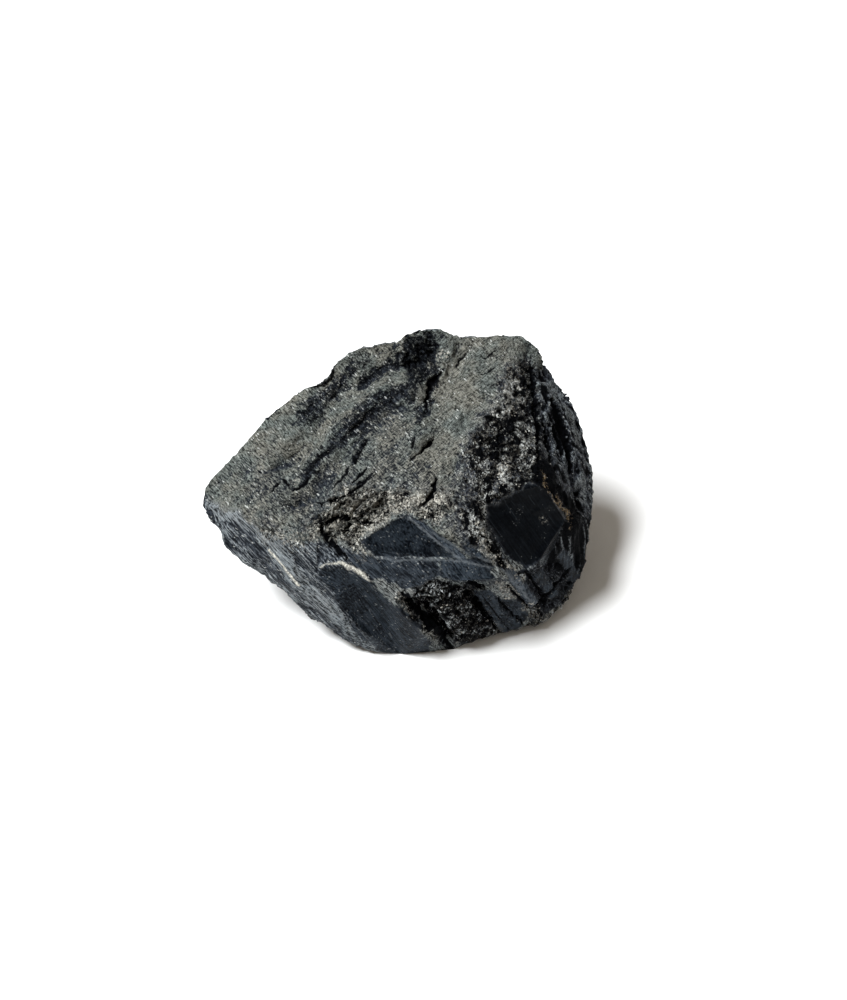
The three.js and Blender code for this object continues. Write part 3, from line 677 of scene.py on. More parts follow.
def surface_layers(where, look):
    """What the materials and the scattered grains read from the mesh: how much of each look a point has."""
    rough = 1 - where.smooth
    # Lighter slate on the strips and the front's slate, and painted highlight on the bevel and the tread.
    light = highest(
        where.slate, 0.7 * where.bevel, 0.18 * where.tread,
        where.slate_front * (0.5 - 0.25 * ramp(look.across, 1, 5)))
    grainy = highest(
        where.sugary * (0.9 - 0.45 * look.patchy), where.granular * (0.85 - 0.35 * look.patchy), where.crumbs,
        0.7 * where.rough_front)
    clumped = look.clumps * (0.35 * where.granular + 0.25 * where.sugary + 0.25 * where.rough_front)
    crumbs = 0.8 * where.crumbs + where.pale + clumped
    return {
        "dusty": dust_and_highlight_layer(where, look),
        "pale": pale_layer(where, look),
        "dark": dark_layer(where, look),
        "light": light * where.smooth,
        "smooth": where.smooth,
        "black": highest(where.glassy, 0.55 * where.navy, 0.1 * where.slab),
        "grainy": grainy * rough,
        "bluish": highest(
            0.75 * where.bands, 0.4 * where.left, 0.7 * where.wall, 0.6 * where.sugary, where.rough_front,
            where.corner),
        "fibrous": np.maximum(where.bands, where.left),
        "stroked": where.top,
        "stepped": where.top * ramp(look.across + 6 * look.cloud, -10, 2),
        "upright": np.maximum(where.wall, where.sugary),
        "bare": where.bare,
        "rusty": where.rust,
        "seam": where.seam,
        "edges": where.edges,
        "crumb_density": crumbs * (1 - where.cracks) * (1 - 0.9 * where.smooth),
        "needle_density": where.splintered,
    }


def make_chunk(settings):
    """Divides the solid, rounds and carves it, and stores on it what its material reads."""
    points, faces = divided(*merged_solid(), edge_lengths(settings), DIVIDING_ROUNDS)
    normals = vertex_normals(points, faces)
    where = regions(points, normals)
    rounding = 0.8 * (1 - where.smooth) * (1 - where.base)
    points = points + rounding[:, None] * (blurred(points, faces, 3) - points)
    made = patterns(points)
    points = points + relief(where, made, settings)[:, None] * normals
    points[:, 2] = np.maximum(points[:, 2], 0)
    upright = drawn_out(points, UPRIGHT, 1.2, 3.0)
    look = SimpleNamespace(
        across=points[:, 0],
        up=on_plane(points)[:, 1],
        prominence=((points - blurred(points, faces, 16)) * vertex_normals(points, faces)).sum(axis=1),
        gap=gap_layer(where, made),
        crests=crest_layer(where, made),
        cloud=smooth_noise(points, 5.0, 4, 3.0),
        patchy=ramp(smooth_noise(points, 2.0, 3, 5.0), -0.1, 0.35),
        clumps=ramp(smooth_noise(points, 1.4, 3, 9.0), -0.1, 0.5),
        upright_patches=ramp(smooth_noise(upright, 1.0, 3, 2.0), 0.05, 0.4),
    )
    mesh = bpy.data.meshes.new("schorl_chunk")
    mesh.from_pydata((points * MM).tolist(), [], faces.tolist())
    crisp = where.sugary + where.granular + where.rough_front > 0.5
    mesh.polygons.foreach_set("use_smooth", ~crisp[faces].all(axis=1))
    for name, values in surface_layers(where, look).items():
        attribute = mesh.attributes.new(name, "FLOAT", "POINT")
        attribute.data.foreach_set("value", np.clip(values, 0, 1).astype(np.float32))
    mesh.update()
    return add_object("schorl_chunk", mesh)


def add_object(name, data):
    """Puts a new object in the scene."""
    obj = bpy.data.objects.new(name, data)
    bpy.context.scene.collection.objects.link(obj)
    return obj


# ---------------------------------------------------------------------------------------------- materials


class Graph:
    """A short way to write a node tree. Each call adds a node, whose inputs are values or others' outputs."""

    def __init__(self, tree):
        self.tree = tree
        tree.nodes.clear()

    def add(self, kind, inputs=None, **settings):
        node = self.tree.nodes.new(kind)
        for name, value in settings.items():
            setattr(node, name, value)
        for key, value in (inputs or {}).items():
            self.put(node.inputs[key], value)
        return node

    def put(self, socket, value):
        if isinstance(value, bpy.types.NodeSocket):
            self.tree.links.new(value, socket)
        else:
            socket.default_value = value

    def place(self):
        return self.add("ShaderNodeTexCoord").outputs["Object"]

    def layer(self, name):
        return self.add("ShaderNodeAttribute", attribute_name=name).outputs["Fac"]

    def math(self, operation, a, b=0.0, clamp=False):
        return self.add("ShaderNodeMath", {0: a, 1: b}, operation=operation, use_clamp=clamp).outputs[0]

    def plus(self, a, b):
        return self.math("ADD", a, b)

    def times(self, a, b, clamp=False):
        return self.math("MULTIPLY", a, b, clamp)

    def vector(self, operation, a, b):
        inputs = {0: a, "Scale" if operation == "SCALE" else 1: b}
        outputs = self.add("ShaderNodeVectorMath", inputs, operation=operation).outputs
        return outputs["Value" if operation == "DOT_PRODUCT" else "Vector"]

    def spread(self, value, low, high, new_low=0.0, new_high=1.0):
        inputs = {"Value": value, "From Min": low, "From Max": high, "To Min": new_low, "To Max": new_high}
        return self.add("ShaderNodeMapRange", inputs, clamp=True).outputs["Result"]

    def between(self, share, a, b):
        """From a, where the share is 0, to b, where it is 1."""
        return self.spread(share, 0, 1, a, b)

    def blend(self, share, a, b):
        return self.add("ShaderNodeMix", {"Factor": share, 2: a, 3: b}).outputs[0]

    def mix(self, share, a, b, blend="MIX"):
        """From one colour to another, each a socket or three numbers."""
        a, b = (value if isinstance(value, bpy.types.NodeSocket) else (*value, 1) for value in (a, b))
        kind = {"data_type": "RGBA", "blend_type": blend, "clamp_factor": True}
        return self.add("ShaderNodeMix", {"Factor": share, 6: a, 7: b}, **kind).outputs[2]

    def noise(self, place, scale, detail, roughness=0.6):
        inputs = {"Vector": place, "Scale": scale, "Detail": detail, "Roughness": roughness}
        return self.add("ShaderNodeTexNoise", inputs).outputs["Fac"]

    def drawn_out(self, place, axis, width, length):
        """A place measured in widths across an axis of the stone and in lengths along it."""
        turn = Vector((0, 0, 1)).rotation_difference(axis).to_euler()
        inputs = {"Vector": place, "Rotation": turn, "Scale": (width, width, length)}
        return self.add("ShaderNodeMapping", inputs, vector_type="TEXTURE").outputs["Vector"]

    def streaks(self, place, axis, width, length, detail):
        return self.noise(self.drawn_out(place, axis, width, length), 1.0, detail)

    def crystals(self, place, axis, width, length):
        """Crystal cells drawn out along an axis, and the three random numbers of each."""
        place = self.drawn_out(place, axis, width, length)
        cells = self.add("ShaderNodeTexVoronoi", {"Vector": place, "Scale": 1.0}).outputs
        lot = self.add("ShaderNodeSeparateColor", {"Color": cells["Color"]}).outputs
        return SimpleNamespace(place=place, cells=cells, lot=lot)

    def bump(self, height, distance):
        inputs = {"Height": height, "Distance": distance, "Strength": 1.0}
        return self.add("ShaderNodeBump", inputs).outputs["Normal"]

    def surface(self, inputs):
        """Ends a material, with these inputs for its shader."""
        shader = self.add("ShaderNodeBsdfPrincipled", inputs)
        self.add("ShaderNodeOutputMaterial", {"Surface": shader.outputs["BSDF"]})


def new_material(name):
    """A material and the graph to fill it with."""
    material = bpy.data.materials.new(name)
    material.use_nodes = True
    return material, Graph(material.node_tree)


def stone_patterns(graph):
    """What the stone's looks are mixed from: the mesh's layers, noises, striations and crystals."""
    made = SimpleNamespace(**{name: graph.layer(name) for name in MATERIAL_LAYERS})
    place = graph.place()
    made.rough = graph.math("SUBTRACT", 1.0, made.smooth)
    made.grit, made.clumps, made.cloud, made.patches = (
        graph.noise(place, *kind) for kind in (GRIT, CLUMPS, CLOUD, PATCHES))
    made.lines = graph.streaks(place, *PRISM_LINES)
    for name, lines in LINES_BY_LAYER.items():
        made.lines = graph.blend(getattr(made, name), made.lines, graph.streaks(place, *lines))
    made.scratches = graph.spread(
        graph.streaks(place, *SCRATCHES), 0.64, 0.72, 0, graph.between(made.black, 0.4, 0.12))
    made.crystals = graph.crystals(place, *CRYSTALS)
    made.flecks = graph.crystals(place, *FLECKS)
    made.gritty = graph.spread(made.grit, 0.4, 0.6)
    made.lined = graph.spread(made.lines, 0.38, 0.62)
    made.strokes = graph.math("POWER", made.flecks.lot["Blue"], 2.5)
    combed = graph.blend(graph.between(made.fibrous, 0.6, 0.85), made.gritty, made.lined)
    made.textured = graph.blend(graph.between(made.fibrous, 0.4, 0.12), combed, made.strokes)
    return made


def broken_stone(graph, made, colours):
    """Broken stone: lighter on its striations, and dark in the bare streaks, partly bare stone and partly
    painted shade.
    """
    ridges = graph.spread(made.textured, 0.15, 0.75)
    ridges = graph.blend(made.upright, ridges, graph.math("POWER", made.lined, 1.6))
    light = graph.mix(made.upright, colours.stone_light, colours.strand_light)
    bare = graph.times(made.bare, graph.spread(made.strokes, 0, 0.5, 0.7, 0))
    return graph.mix(bare, graph.mix(ridges, colours.stone_dark, light), colours.pit)


def smooth_face(graph, made, colours):
    """Smooth faces: navy, black or slate, with fine lines and scratches."""
    mottled = graph.blend(0.35, made.lined, made.gritty)
    mottled = graph.blend(0.3, mottled, graph.spread(made.patches, 0.4, 0.6))
    mottled = graph.spread(mottled, 0.28, 0.7)
    face = graph.mix(mottled, colours.navy_dark, colours.navy_light)
    face = graph.mix(graph.times(made.black, 0.9), face, colours.pit)
    # Slate where the light layer is high: painted highlight on the bevel and the tread.
    face = graph.mix(made.light, face, graph.mix(mottled, colours.slate_dark, colours.slate_light))
    return graph.mix(made.scratches, face, colours.slate_light)


def dust_and_highlight_cover(graph, made):
    """How much of the stone its dust and painted highlights hide: more on the ridges of rough places."""
    cover = graph.plus(made.dusty, graph.times(made.rough, graph.between(made.textured, -0.42, 0.48)))
    return graph.times(graph.spread(cover, 0.2, 0.65), graph.spread(made.clumps, 0.35, 0.5, 0.6, 1.0))


def dust_colour(graph, made, colours):
    """Dust: warmer in clouds, bluer where the stone is, and light and dark with the texture under it."""
    dust = graph.mix(graph.spread(made.cloud, 0.4, 0.6), colours.dust_cool, colours.dust_warm)
    dust = graph.mix(made.bluish, dust, colours.dust_blue)
    shade = graph.spread(made.textured, 0.12, 0.8, 0.12, 1.95)
    grey = graph.add("ShaderNodeCombineXYZ", {0: shade, 1: shade, 2: shade}).outputs[0]
    return graph.mix(1.0, dust, grey, "MULTIPLY")


def grain_cover(graph, made):
    """Where crystal grains show."""
    cover = graph.spread(graph.plus(made.grit, made.grainy), 0.85, 1.15)
    return graph.times(cover, graph.spread(made.grainy, 0.05, 0.3))


def grain_colour(graph, made, colours):
    """Crystal grains, each with its own brightness: black, grey or white."""
    brightness = graph.plus(made.crystals.lot["Red"], graph.spread(made.patches, 0.38, 0.62, -0.9, 0))
    brightness = graph.plus(brightness, graph.between(made.pale, 0, 0.6))
    brightness = graph.math("POWER", graph.spread(brightness, 0.2, 0.92), 1.9)
    grey = graph.mix(made.bluish, colours.dust_cool, colours.dust_blue)
    white = graph.mix(made.bluish, colours.quartz, colours.frost)
    lit = graph.mix(brightness, grey, white)
    return graph.mix(graph.spread(brightness, 0.08, 0.2), colours.pit, lit)


def speck_and_glint_cover(graph, made):
    """Bright specks, partly mica and partly painted glints: a few of the flecks, and hardly any on smooth and
    black faces.
    """
    chance = graph.spread(made.patches, 0.4, 0.7, 0.985, graph.between(made.grainy, 0.9, 0.8))
    chosen = graph.math("GREATER_THAN", made.flecks.lot["Red"], chance)
    bright = graph.between(graph.math("POWER", made.flecks.lot["Green"], 2.0), 0.08, 0.9)
    cover = graph.times(graph.times(chosen, bright), graph.between(made.smooth, 0.8, 0.2))
    return graph.times(cover, graph.blend(made.black, 1.0, graph.spread(made.patches, 0.54, 0.62, 0, 0.7)))


def darkness_of(graph, made):
    """Painted shade in deep gaps and cracks, and small pits wherever the stone is rough."""
    deep = graph.math("SUBTRACT", made.dark, graph.between(made.textured, -0.2, 0.3))
    pits = graph.spread(
        made.clumps, graph.between(made.grainy, 0.36, 0.45), graph.between(made.grainy, 0.32, 0.4))
    pits = graph.times(pits, graph.times(made.rough, 0.85))
    return graph.math("MAXIMUM", graph.spread(deep, 0.1, 0.6), pits)


def fine_height(graph, made):
    """The relief too fine for the mesh, in metres: crystals, grit and lines, slight on smooth faces."""
    offset = graph.vector("SUBTRACT", made.crystals.cells["Position"], made.crystals.place)
    tilt = graph.vector("SUBTRACT", made.crystals.cells["Color"], (0.5, 0.5, 0.5))
    facet = graph.vector("DOT_PRODUCT", offset, tilt)
    crystals = graph.times(facet, graph.between(made.grainy, 0.0001, 0.0007))
    crystals = graph.times(crystals, graph.between(made.smooth, 1, 0.04))
    grit = graph.times(made.grit, graph.between(made.smooth, 0.0002, 0.00002))
    lines = graph.times(made.lines, graph.between(made.smooth, 0.0002, 0.00004))
    return graph.plus(graph.plus(crystals, grit), lines)


def schorl_material(colours):
    """The stone, from its broken and smooth faces up to the dust, grains, specks and veins on them, with
    painted highlights and painted shade.
    """
    material, graph = new_material("schorl")
    made = stone_patterns(graph)
    cover, specks, darkness = dust_and_highlight_cover(graph, made), speck_and_glint_cover(graph, made), darkness_of(graph, made)
    pale = graph.times(made.pale, graph.spread(made.clumps, 0.5, 0.6), clamp=True)
    rusty = graph.times(made.rusty, graph.spread(made.clumps, 0.42, 0.54), clamp=True)
    edges = graph.times(made.edges, graph.spread(made.clumps, 0.35, 0.6, 0.1, 0.8))
    rust = graph.mix(graph.spread(made.grit, 0.44, 0.6), colours.rust_dark, colours.rust)
    look = broken_stone(graph, made, colours)
    for share, over in (
        (made.smooth, smooth_face(graph, made, colours)),
        # Dust, with painted highlights on the rim, raised places and the wall's crests, and painted shade
        # where the surface lies back.
        (cover, dust_colour(graph, made, colours)),
        (grain_cover(graph, made), grain_colour(graph, made, colours)),
        (pale, graph.mix(made.gritty, colours.quartz_shade, colours.quartz)),
        (rusty, rust),
        # Specks: partly mica, partly painted glints.
        (specks, colours.mica),
        (made.seam, graph.mix(made.gritty, colours.seam_dark, colours.seam_light)),
        # Painted highlights along the edges between the smooth faces.
        (edges, colours.dust_blue),
        # Painted shade in cracks, gaps, the crevice and the hollow, and small pits.
        (darkness, colours.pit),
    ):
        look = graph.mix(share, look, over)
    roughness = graph.math("SUBTRACT", graph.spread(cover, 0, 0.8, 0.4, 0.85), graph.times(made.black, 0.15))
    roughness = graph.math("SUBTRACT", roughness, graph.times(specks, 0.35), clamp=True)
    roughness = graph.math("MAXIMUM", roughness, graph.times(darkness, 0.75))
    graph.surface({
        "Base Color": look, "Roughness": roughness, "Normal": graph.bump(fine_height(graph, made), 1.0),
        "IOR": SCHORL_IOR, "Specular IOR Level": 0.02,
    })
    return material


def grain_material(name, dark, light, roughness):
    """Grains and needles: each has its own shade, with a little mottling."""
    material, graph = new_material(name)
    place = graph.place()
    mottle = graph.spread(graph.noise(place, 3000, 3), 0.35, 0.65, 0.55, 1.0)
    shade = graph.times(graph.layer("shade"), mottle)
    normal = graph.bump(graph.noise(place, 2400, 2), 0.0001)
    graph.surface({
        "Base Color": graph.mix(shade, dark, light), "Roughness": roughness, "Normal": normal,
        "Specular IOR Level": 0.4,
    })
    return material


def plain_material(name, colour, roughness):
    """One colour all over."""
    material, graph = new_material(name)
    graph.surface({"Base Color": (*colour, 1), "Roughness": roughness})
    return material


# ---------------------------------------------------------------------------------------------- grains


def scatter_group(density_layer, needles, material):
    """Geometry Nodes that lay small closed shapes on a surface, densest where that layer of it is highest."""
    tree = bpy.data.node_groups.new("scatter_" + density_layer, "GeometryNodeTree")
    graph = Graph(tree)
    tree.interface.new_socket("Geometry", in_out="INPUT", socket_type="NodeSocketGeometry")
    for name, kind in SCATTER_INPUTS.items():
        tree.interface.new_socket(name, in_out="INPUT", socket_type=kind)
    tree.interface.new_socket("Geometry", in_out="OUTPUT", socket_type="NodeSocketGeometry")
    given = graph.add("NodeGroupInput").outputs
    layer = graph.add("GeometryNodeInputNamedAttribute", {"Name": density_layer}, data_type="FLOAT")
    density = graph.times(layer.outputs[0], given["Density"])
    spots = graph.add("GeometryNodeDistributePointsOnFaces", {
        "Mesh": given["Geometry"], "Density": density, "Seed": given["Seed"],
    }).outputs
    if needles:
        size = {"Vertices": 5, "Radius": 0.05, "Depth": 1.0}
        shape = graph.add("GeometryNodeMeshCylinder", size).outputs["Mesh"]
    else:
        ball = graph.add("GeometryNodeMeshIcoSphere", {"Radius": 0.5, "Subdivisions": 1}).outputs["Mesh"]
        shape = graph.add("GeometryNodeTransform", {"Geometry": ball, "Scale": (1.0, 0.75, 0.45)}).outputs[0]

    def chance(number, low, high):
        """A random number, or three in a vector, for each spot."""
        kind = "FLOAT_VECTOR" if isinstance(low, tuple) else "FLOAT"
        node = graph.add("FunctionNodeRandomValue", data_type=kind)
        for key, value in (("Min", low), ("Max", high)):
            graph.put(next(i for i in node.inputs if i.name == key and i.enabled), value)
        graph.put(node.inputs["Seed"], graph.plus(given["Seed"], float(number)))
        return next(o for o in node.outputs if o.enabled)

    normal, lean = spots["Normal"], chance(1, (-1, -1, -1), (1, 1, 1))
    if needles:
        lean = graph.vector("CROSS_PRODUCT", normal, lean)
    direction = graph.vector("ADD", normal, graph.vector("SCALE", lean, given["Lean"]))
    upright = graph.add("FunctionNodeAlignRotationToVector", {"Vector": direction}, axis="Z").outputs[0]
    spin = graph.add("FunctionNodeAxisAngleToRotation", {"Axis": (0, 0, 1), "Angle": chance(2, 0.0, 6.28)})
    turned = graph.add("FunctionNodeRotateRotation", {0: upright, 1: spin.outputs[0]}, rotation_space="LOCAL")
    size = graph.between(graph.math("POWER", chance(3, 0.0, 1.0), 2.2), given["Smallest"], given["Largest"])
    grains = graph.add("GeometryNodeInstanceOnPoints", {
        "Points": spots["Points"], "Instance": shape, "Rotation": turned.outputs[0], "Scale": size,
    }).outputs[0]
    shaded = graph.add("GeometryNodeStoreNamedAttribute", {
        "Geometry": grains, "Name": "shade", "Value": chance(4, 0.0, 1.0),
    }, data_type="FLOAT", domain="INSTANCE").outputs[0]
    down = graph.vector("SCALE", (0, 0, -1), given["Sink"])
    placed = graph.add("GeometryNodeTranslateInstances", {
        "Instances": shaded, "Translation": down, "Local Space": True,
    }).outputs[0]
    real = graph.add("GeometryNodeRealizeInstances", {"Geometry": placed}).outputs[0]
    finished = graph.add("GeometryNodeSetMaterial", {"Geometry": real, "Material": material}).outputs[0]
    graph.add("NodeGroupOutput", {"Geometry": finished})
    return tree


def scatter(name, density_layer, material, settings, needles=False):
    """Makes a piece of many small shapes that lie on the chunk."""
    carrier = add_object("carrier", bpy.data.objects["schorl_chunk"].data)
    modifier = carrier.modifiers.new("scatter", "NODES")
    modifier.node_group = scatter_group(density_layer, needles, material)
    for item in modifier.node_group.interface.items_tree:
        if item.name in SCATTER_INPUTS:
            modifier[item.identifier] = getattr(settings, item.name.lower())
    depsgraph = bpy.context.evaluated_depsgraph_get()
    mesh = bpy.data.meshes.new_from_object(carrier.evaluated_get(depsgraph))
    bpy.data.objects.remove(carrier)
    mesh.name = name
    if not mesh.polygons:
        raise RuntimeError(f"{name} came out empty")
    return add_object(name, mesh)


# ---------------------------------------------------------------------------------------------- the stage


def make_floor(settings):
    """A wide white floor under the stone."""
    half = settings.floor_size / 2
    mesh = bpy.data.meshes.new("floor")
    corners = [(-half, -half, 0), (half, -half, 0), (half, half, 0), (-half, half, 0)]
    mesh.from_pydata(corners, [], [(0, 1, 2, 3)])
    mesh.materials.append(plain_material("floor", settings.floor_colour, 0.9))
    add_object("floor", mesh)


def make_light(settings):
    """One large soft light."""
    light = bpy.data.lights.new("window", "SUN")
    light.energy = settings.light_strength
    light.angle = settings.light_spread
    light.color = settings.light_colour
    rise, turn = settings.light_rise, settings.light_turn
    source = Vector((math.cos(rise) * math.cos(turn), math.cos(rise) * math.sin(turn), math.sin(rise)))
    add_object("window", light).rotation_euler = source.to_track_quat("Z", "Y").to_euler()


def make_world(settings):
    """Light from all round, brighter overhead than at the horizon, and plain white where it is seen."""
    world = bpy.data.worlds.new("studio")
    world.use_nodes = True
    bpy.context.scene.world = world
    graph = Graph(world.node_tree)
    direction = graph.add("ShaderNodeTexCoord").outputs["Generated"]
    height = graph.add("ShaderNodeSeparateXYZ", {"Vector": direction}).outputs["Z"]
    strength = graph.spread(height, 0.0, 1.0, settings.horizon_light, settings.overhead_light)
    lit = graph.add("ShaderNodeBackground", {"Color": (*settings.room_colour, 1), "Strength": strength})
    plain = graph.add("ShaderNodeBackground", {"Color": (1, 1, 1, 1), "Strength": 1.0})
    seen = graph.add("ShaderNodeLightPath").outputs["Is Camera Ray"]
    both = graph.add("ShaderNodeMixShader", {0: seen, 1: lit.outputs[0], 2: plain.outputs[0]})
    graph.add("ShaderNodeOutputWorld", {"Surface": both.outputs[0]})
    bpy.context.scene.view_settings.view_transform = "Standard"


def make_camera(settings):
    """Looks down on the stone's front, straight at the drawing plane."""
    lens = bpy.data.cameras.new("camera")
    lens.lens = settings.lens
    lens.sensor_width = 36
    lens.clip_start = 0.01
    lens.clip_end = 50
    camera = add_object("camera", lens)
    forward = -Vector(TOWARDS_VIEWER)
    camera.location = Vector(settings.camera_target) - settings.camera_distance * forward
    camera.rotation_euler = forward.to_track_quat("-Z", "Y").to_euler()
    bpy.context.scene.camera = camera


# ---------------------------------------------------------------------------------------------- the add-on


def colour(name, description, value):
    return FloatVectorProperty(
        name=name, description=description, default=value, subtype="COLOR", size=3, min=0, max=1)


def angle(name, description, degrees):
    return FloatProperty(name=name, description=description, default=math.radians(degrees), unit="ROTATION")


def number(name, description, value, unit="NONE"):
    return FloatProperty(name=name, description=description, default=value, min=0, precision=4, unit=unit)


class TourmalineColours(bpy.types.PropertyGroup):
    """The colours of the stone and what lies on it."""

    stone_dark: colour("Dark stone", "Broken stone between its striations", (0.004, 0.005, 0.007))
    stone_light: colour("Light stone", "Broken stone on its striations", (0.04, 0.047, 0.058))
    strand_light: colour("Light strands", "Upright strands of the right wall", (0.08, 0.09, 0.108))
    navy_dark: colour("Dark smooth faces", "Smooth prism faces between their lines", (0.001, 0.002, 0.0035))
    navy_light: colour("Light smooth faces", "Lines on the smooth prism faces", (0.025, 0.033, 0.043))
    slate_dark: colour("Dark slate strips", "Grey-blue strips between their lines", (0.008, 0.012, 0.018))
    slate_light: colour("Light slate strips", "Lines on the grey-blue strips", (0.075, 0.09, 0.108))
    # The dust colours also paint the highlights on the rim, the edges and the right wall's crests and strips.
    dust_cool: colour("Cool dust", "Grey-green film on the worn faces", (0.1, 0.112, 0.105))
    dust_blue: colour("Blue dust", "Blue-grey film on the bands at the left", (0.13, 0.145, 0.16))
    dust_warm: colour("Warm dust", "Grey-brown film on the worn faces", (0.125, 0.124, 0.108))
    quartz: colour("Quartz", "Pale cream grains", (0.6, 0.575, 0.51))
    quartz_shade: colour("Quartz shade", "Between the pale cream grains", (0.1, 0.095, 0.085))
    seam_light: colour("Light seam", "Quartz seam on its grains", (0.72, 0.7, 0.62))
    seam_dark: colour("Dark seam", "Quartz seam between its grains", (0.2, 0.195, 0.18))
    frost: colour("Frost", "White grains on the black broken places", (0.56, 0.6, 0.61))
    # Mica is also the colour of painted glints.
    mica: colour("Mica", "Bright specks", (0.66, 0.68, 0.66))
    rust: colour("Rust", "Brown vein on its grains", (0.52, 0.38, 0.22))
    rust_dark: colour("Dark rust", "Brown vein between its grains", (0.006, 0.004, 0.003))
    # This near-black is also the painted shade in cracks, gaps, the crevice and the hollow.
    pit: colour("Pits", "Deep cracks and gaps", (0.0014, 0.0017, 0.0024))


class TourmalineChunk(bpy.types.PropertyGroup):
    """The chunk's fine relief, with its heights in millimetres."""

    edge_length: number("Edge length", "Longest edge of its triangles, in mm", 0.52)
    step_height: number("Steps", "Height of the top's steps", 0.42)
    stroke_height: number("Strokes", "Height of the short strokes across the top", 0.1)
    grain_height: number("Grains", "Height of the grains", 0.28)
    fibre_height: number("Fibres", "Height of the left bands' fibres", 0.13)
    prism_height: number("Prisms", "Height of the prisms' ribs", 0.34)
    crack_depth: number("Cracks", "Share of each crack's full depth", 1.0)


class TourmalineCrumbs(bpy.types.PropertyGroup):
    """Pale grains of quartz and mica on the broken places."""

    density: number("Density", "Grains on each square metre at most", 4.0e6)
    seed: IntProperty(name="Seed", description="Chooses where they lie", default=11)
    smallest: number("Smallest", "Length of the smallest", 0.00015, "LENGTH")
    largest: number("Largest", "Length of the largest", 0.0005, "LENGTH")
    lean: number("Lean", "How far they lean from lying flat", 0.9)
    sink: number("Sink", "How far their middles lie below the surface", 0.00002, "LENGTH")


class TourmalineNeedles(bpy.types.PropertyGroup):
    """Splinters of broken prisms in the hollow at the front of the top."""

    density: number("Density", "Needles on each square metre at most", 1.1e6)
    seed: IntProperty(name="Seed", description="Chooses where they lie", default=5)
    smallest: number("Smallest", "Length of the shortest", 0.0008, "LENGTH")
    largest: number("Largest", "Length of the longest", 0.0024, "LENGTH")
    lean: number("Lean", "How far they lean from standing up", 20.0)
    sink: number("Sink", "How far their middles lie below the surface", 0.0001, "LENGTH")


class TourmalineStage(bpy.types.PropertyGroup):
    """The floor, lights and camera."""

    floor_size: number("Floor", "Side of the floor", 8.0, "LENGTH")
    floor_colour: colour("Floor colour", "Colour of the floor", (0.93, 0.93, 0.93))
    light_strength: number("Light", "Strength of the large light", 6.0)
    light_colour: colour("Light colour", "Colour of the large light", (0.96, 0.985, 1.0))
    light_spread: angle("Softness", "How wide the light looks", 25)
    light_rise: angle("Height", "Angle of the light above the floor", 61)
    light_turn: angle("Direction", "Where the light comes from, anticlockwise from the right", 181)
    room_colour: colour("Room colour", "Colour of the light from all round", (1.0, 0.9, 0.77))
    overhead_light: number("Overhead", "Brightness of the room overhead", 0.32)
    horizon_light: number("Horizon", "Brightness of the room at the horizon", 0.14)
    lens: FloatProperty(name="Lens", description="Focal length in mm", default=85, unit="CAMERA")
    camera_distance: number("Distance", "From the camera to its target", 0.376, "LENGTH")
    camera_target: FloatVectorProperty(
        name="Target", description="What the camera looks at", default=(0.00405, 0, 0.0155), subtype="XYZ",
        unit="LENGTH")


def hand_over(piece):
    """Lets a finished piece stand for the solid, with its finish."""
    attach(piece, "root")
    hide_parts(NODE)


class TOURMALINE_OT_chunk(bpy.types.Operator):
    """Makes the chunk from its solid"""

    bl_idname = "tourmaline.chunk"
    bl_label = "Chunk"

    def execute(self, context):
        chunk = make_chunk(context.scene.tourmaline_chunk)
        chunk.data.materials.append(schorl_material(context.scene.tourmaline_colours))
        hand_over(chunk)
        return {"FINISHED"}


class TOURMALINE_OT_crumbs(bpy.types.Operator):
    """Lays pale grains on the chunk's broken places"""

    bl_idname = "tourmaline.crumbs"
    bl_label = "Pale grains"

    def execute(self, context):
        colours = context.scene.tourmaline_colours
        material = grain_material("pale_grains", colours.pit, colours.quartz, 0.4)
        hand_over(scatter("pale_grains", "crumb_density", material, context.scene.tourmaline_crumbs))
        return {"FINISHED"}


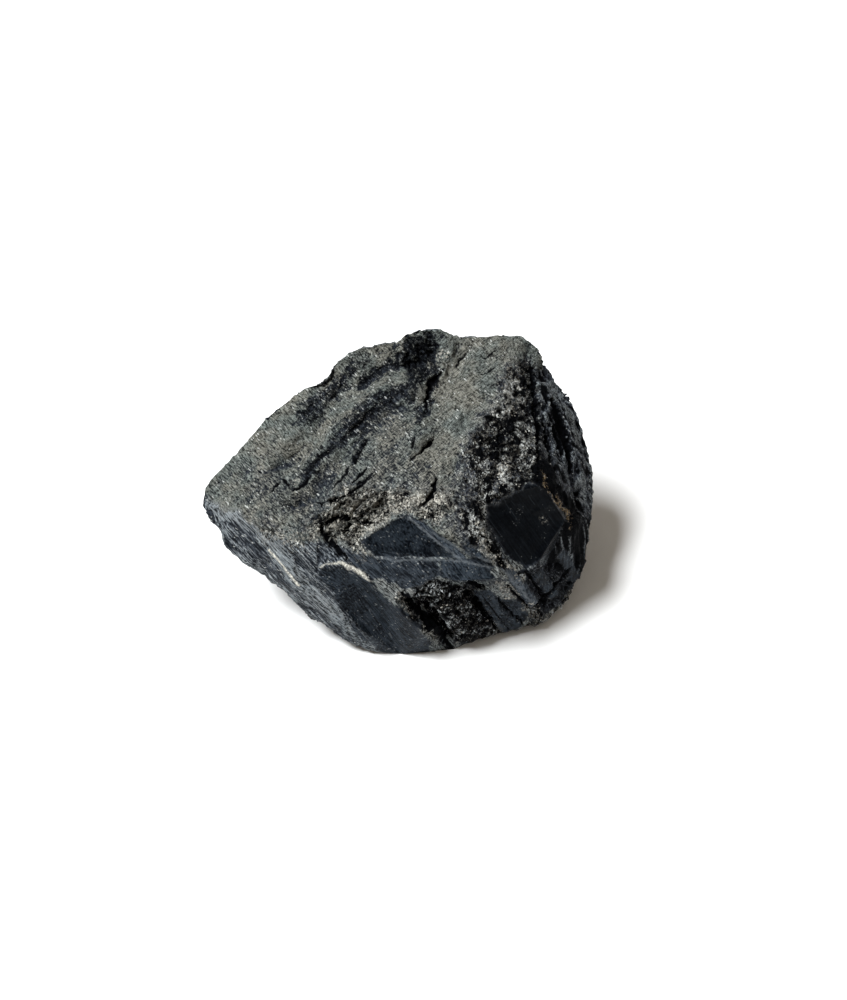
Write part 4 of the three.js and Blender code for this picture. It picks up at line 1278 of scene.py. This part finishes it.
class TOURMALINE_OT_needles(bpy.types.Operator):
    """Lays splinters of broken prisms on the chunk"""

    bl_idname = "tourmaline.needles"
    bl_label = "Needles"

    def execute(self, context):
        colours = context.scene.tourmaline_colours
        material = grain_material("needles", colours.pit, colours.dust_warm, 0.35)
        settings = context.scene.tourmaline_needles
        hand_over(scatter("needles", "needle_density", material, settings, needles=True))
        return {"FINISHED"}


class TOURMALINE_OT_stage(bpy.types.Operator):
    """Makes the floor, the lights and the camera"""

    bl_idname = "tourmaline.stage"
    bl_label = "Stage"

    def execute(self, context):
        settings = context.scene.tourmaline_stage
        make_floor(settings)
        make_light(settings)
        make_world(settings)
        make_camera(settings)
        return {"FINISHED"}


class TOURMALINE_PT_panel(bpy.types.Panel):
    """Lists what can be made, with its settings"""

    bl_idname = "TOURMALINE_PT_panel"
    bl_label = "Tourmaline"
    bl_space_type = "VIEW_3D"
    bl_region_type = "UI"
    bl_category = "Tourmaline"

    def draw(self, context):
        for operator, groups in PARTS:
            box = self.layout.box()
            box.operator(operator)
            for group in groups:
                settings = getattr(context.scene, group)
                for name in settings.__annotations__:
                    box.prop(settings, name)


PARTS = (
    ("tourmaline.chunk", ("tourmaline_chunk", "tourmaline_colours")),
    ("tourmaline.crumbs", ("tourmaline_crumbs",)),
    ("tourmaline.needles", ("tourmaline_needles",)),
    ("tourmaline.stage", ("tourmaline_stage",)),
)
SETTINGS = {
    "tourmaline_colours": TourmalineColours,
    "tourmaline_chunk": TourmalineChunk,
    "tourmaline_crumbs": TourmalineCrumbs,
    "tourmaline_needles": TourmalineNeedles,
    "tourmaline_stage": TourmalineStage,
}
CLASSES = (
    *SETTINGS.values(), TOURMALINE_OT_chunk, TOURMALINE_OT_crumbs, TOURMALINE_OT_needles, TOURMALINE_OT_stage,
    TOURMALINE_PT_panel,
)


def register():
    for cls in CLASSES:
        bpy.utils.register_class(cls)
    for name, group in SETTINGS.items():
        setattr(bpy.types.Scene, name, PointerProperty(type=group))


def unregister():
    for name in SETTINGS:
        delattr(bpy.types.Scene, name)
    for cls in reversed(CLASSES):
        bpy.utils.unregister_class(cls)


def main():
    register()
    bpy.ops.tourmaline.chunk()
    bpy.ops.tourmaline.crumbs()
    bpy.ops.tourmaline.needles()
    bpy.ops.tourmaline.stage()


if __name__ == "__main__":
    main()
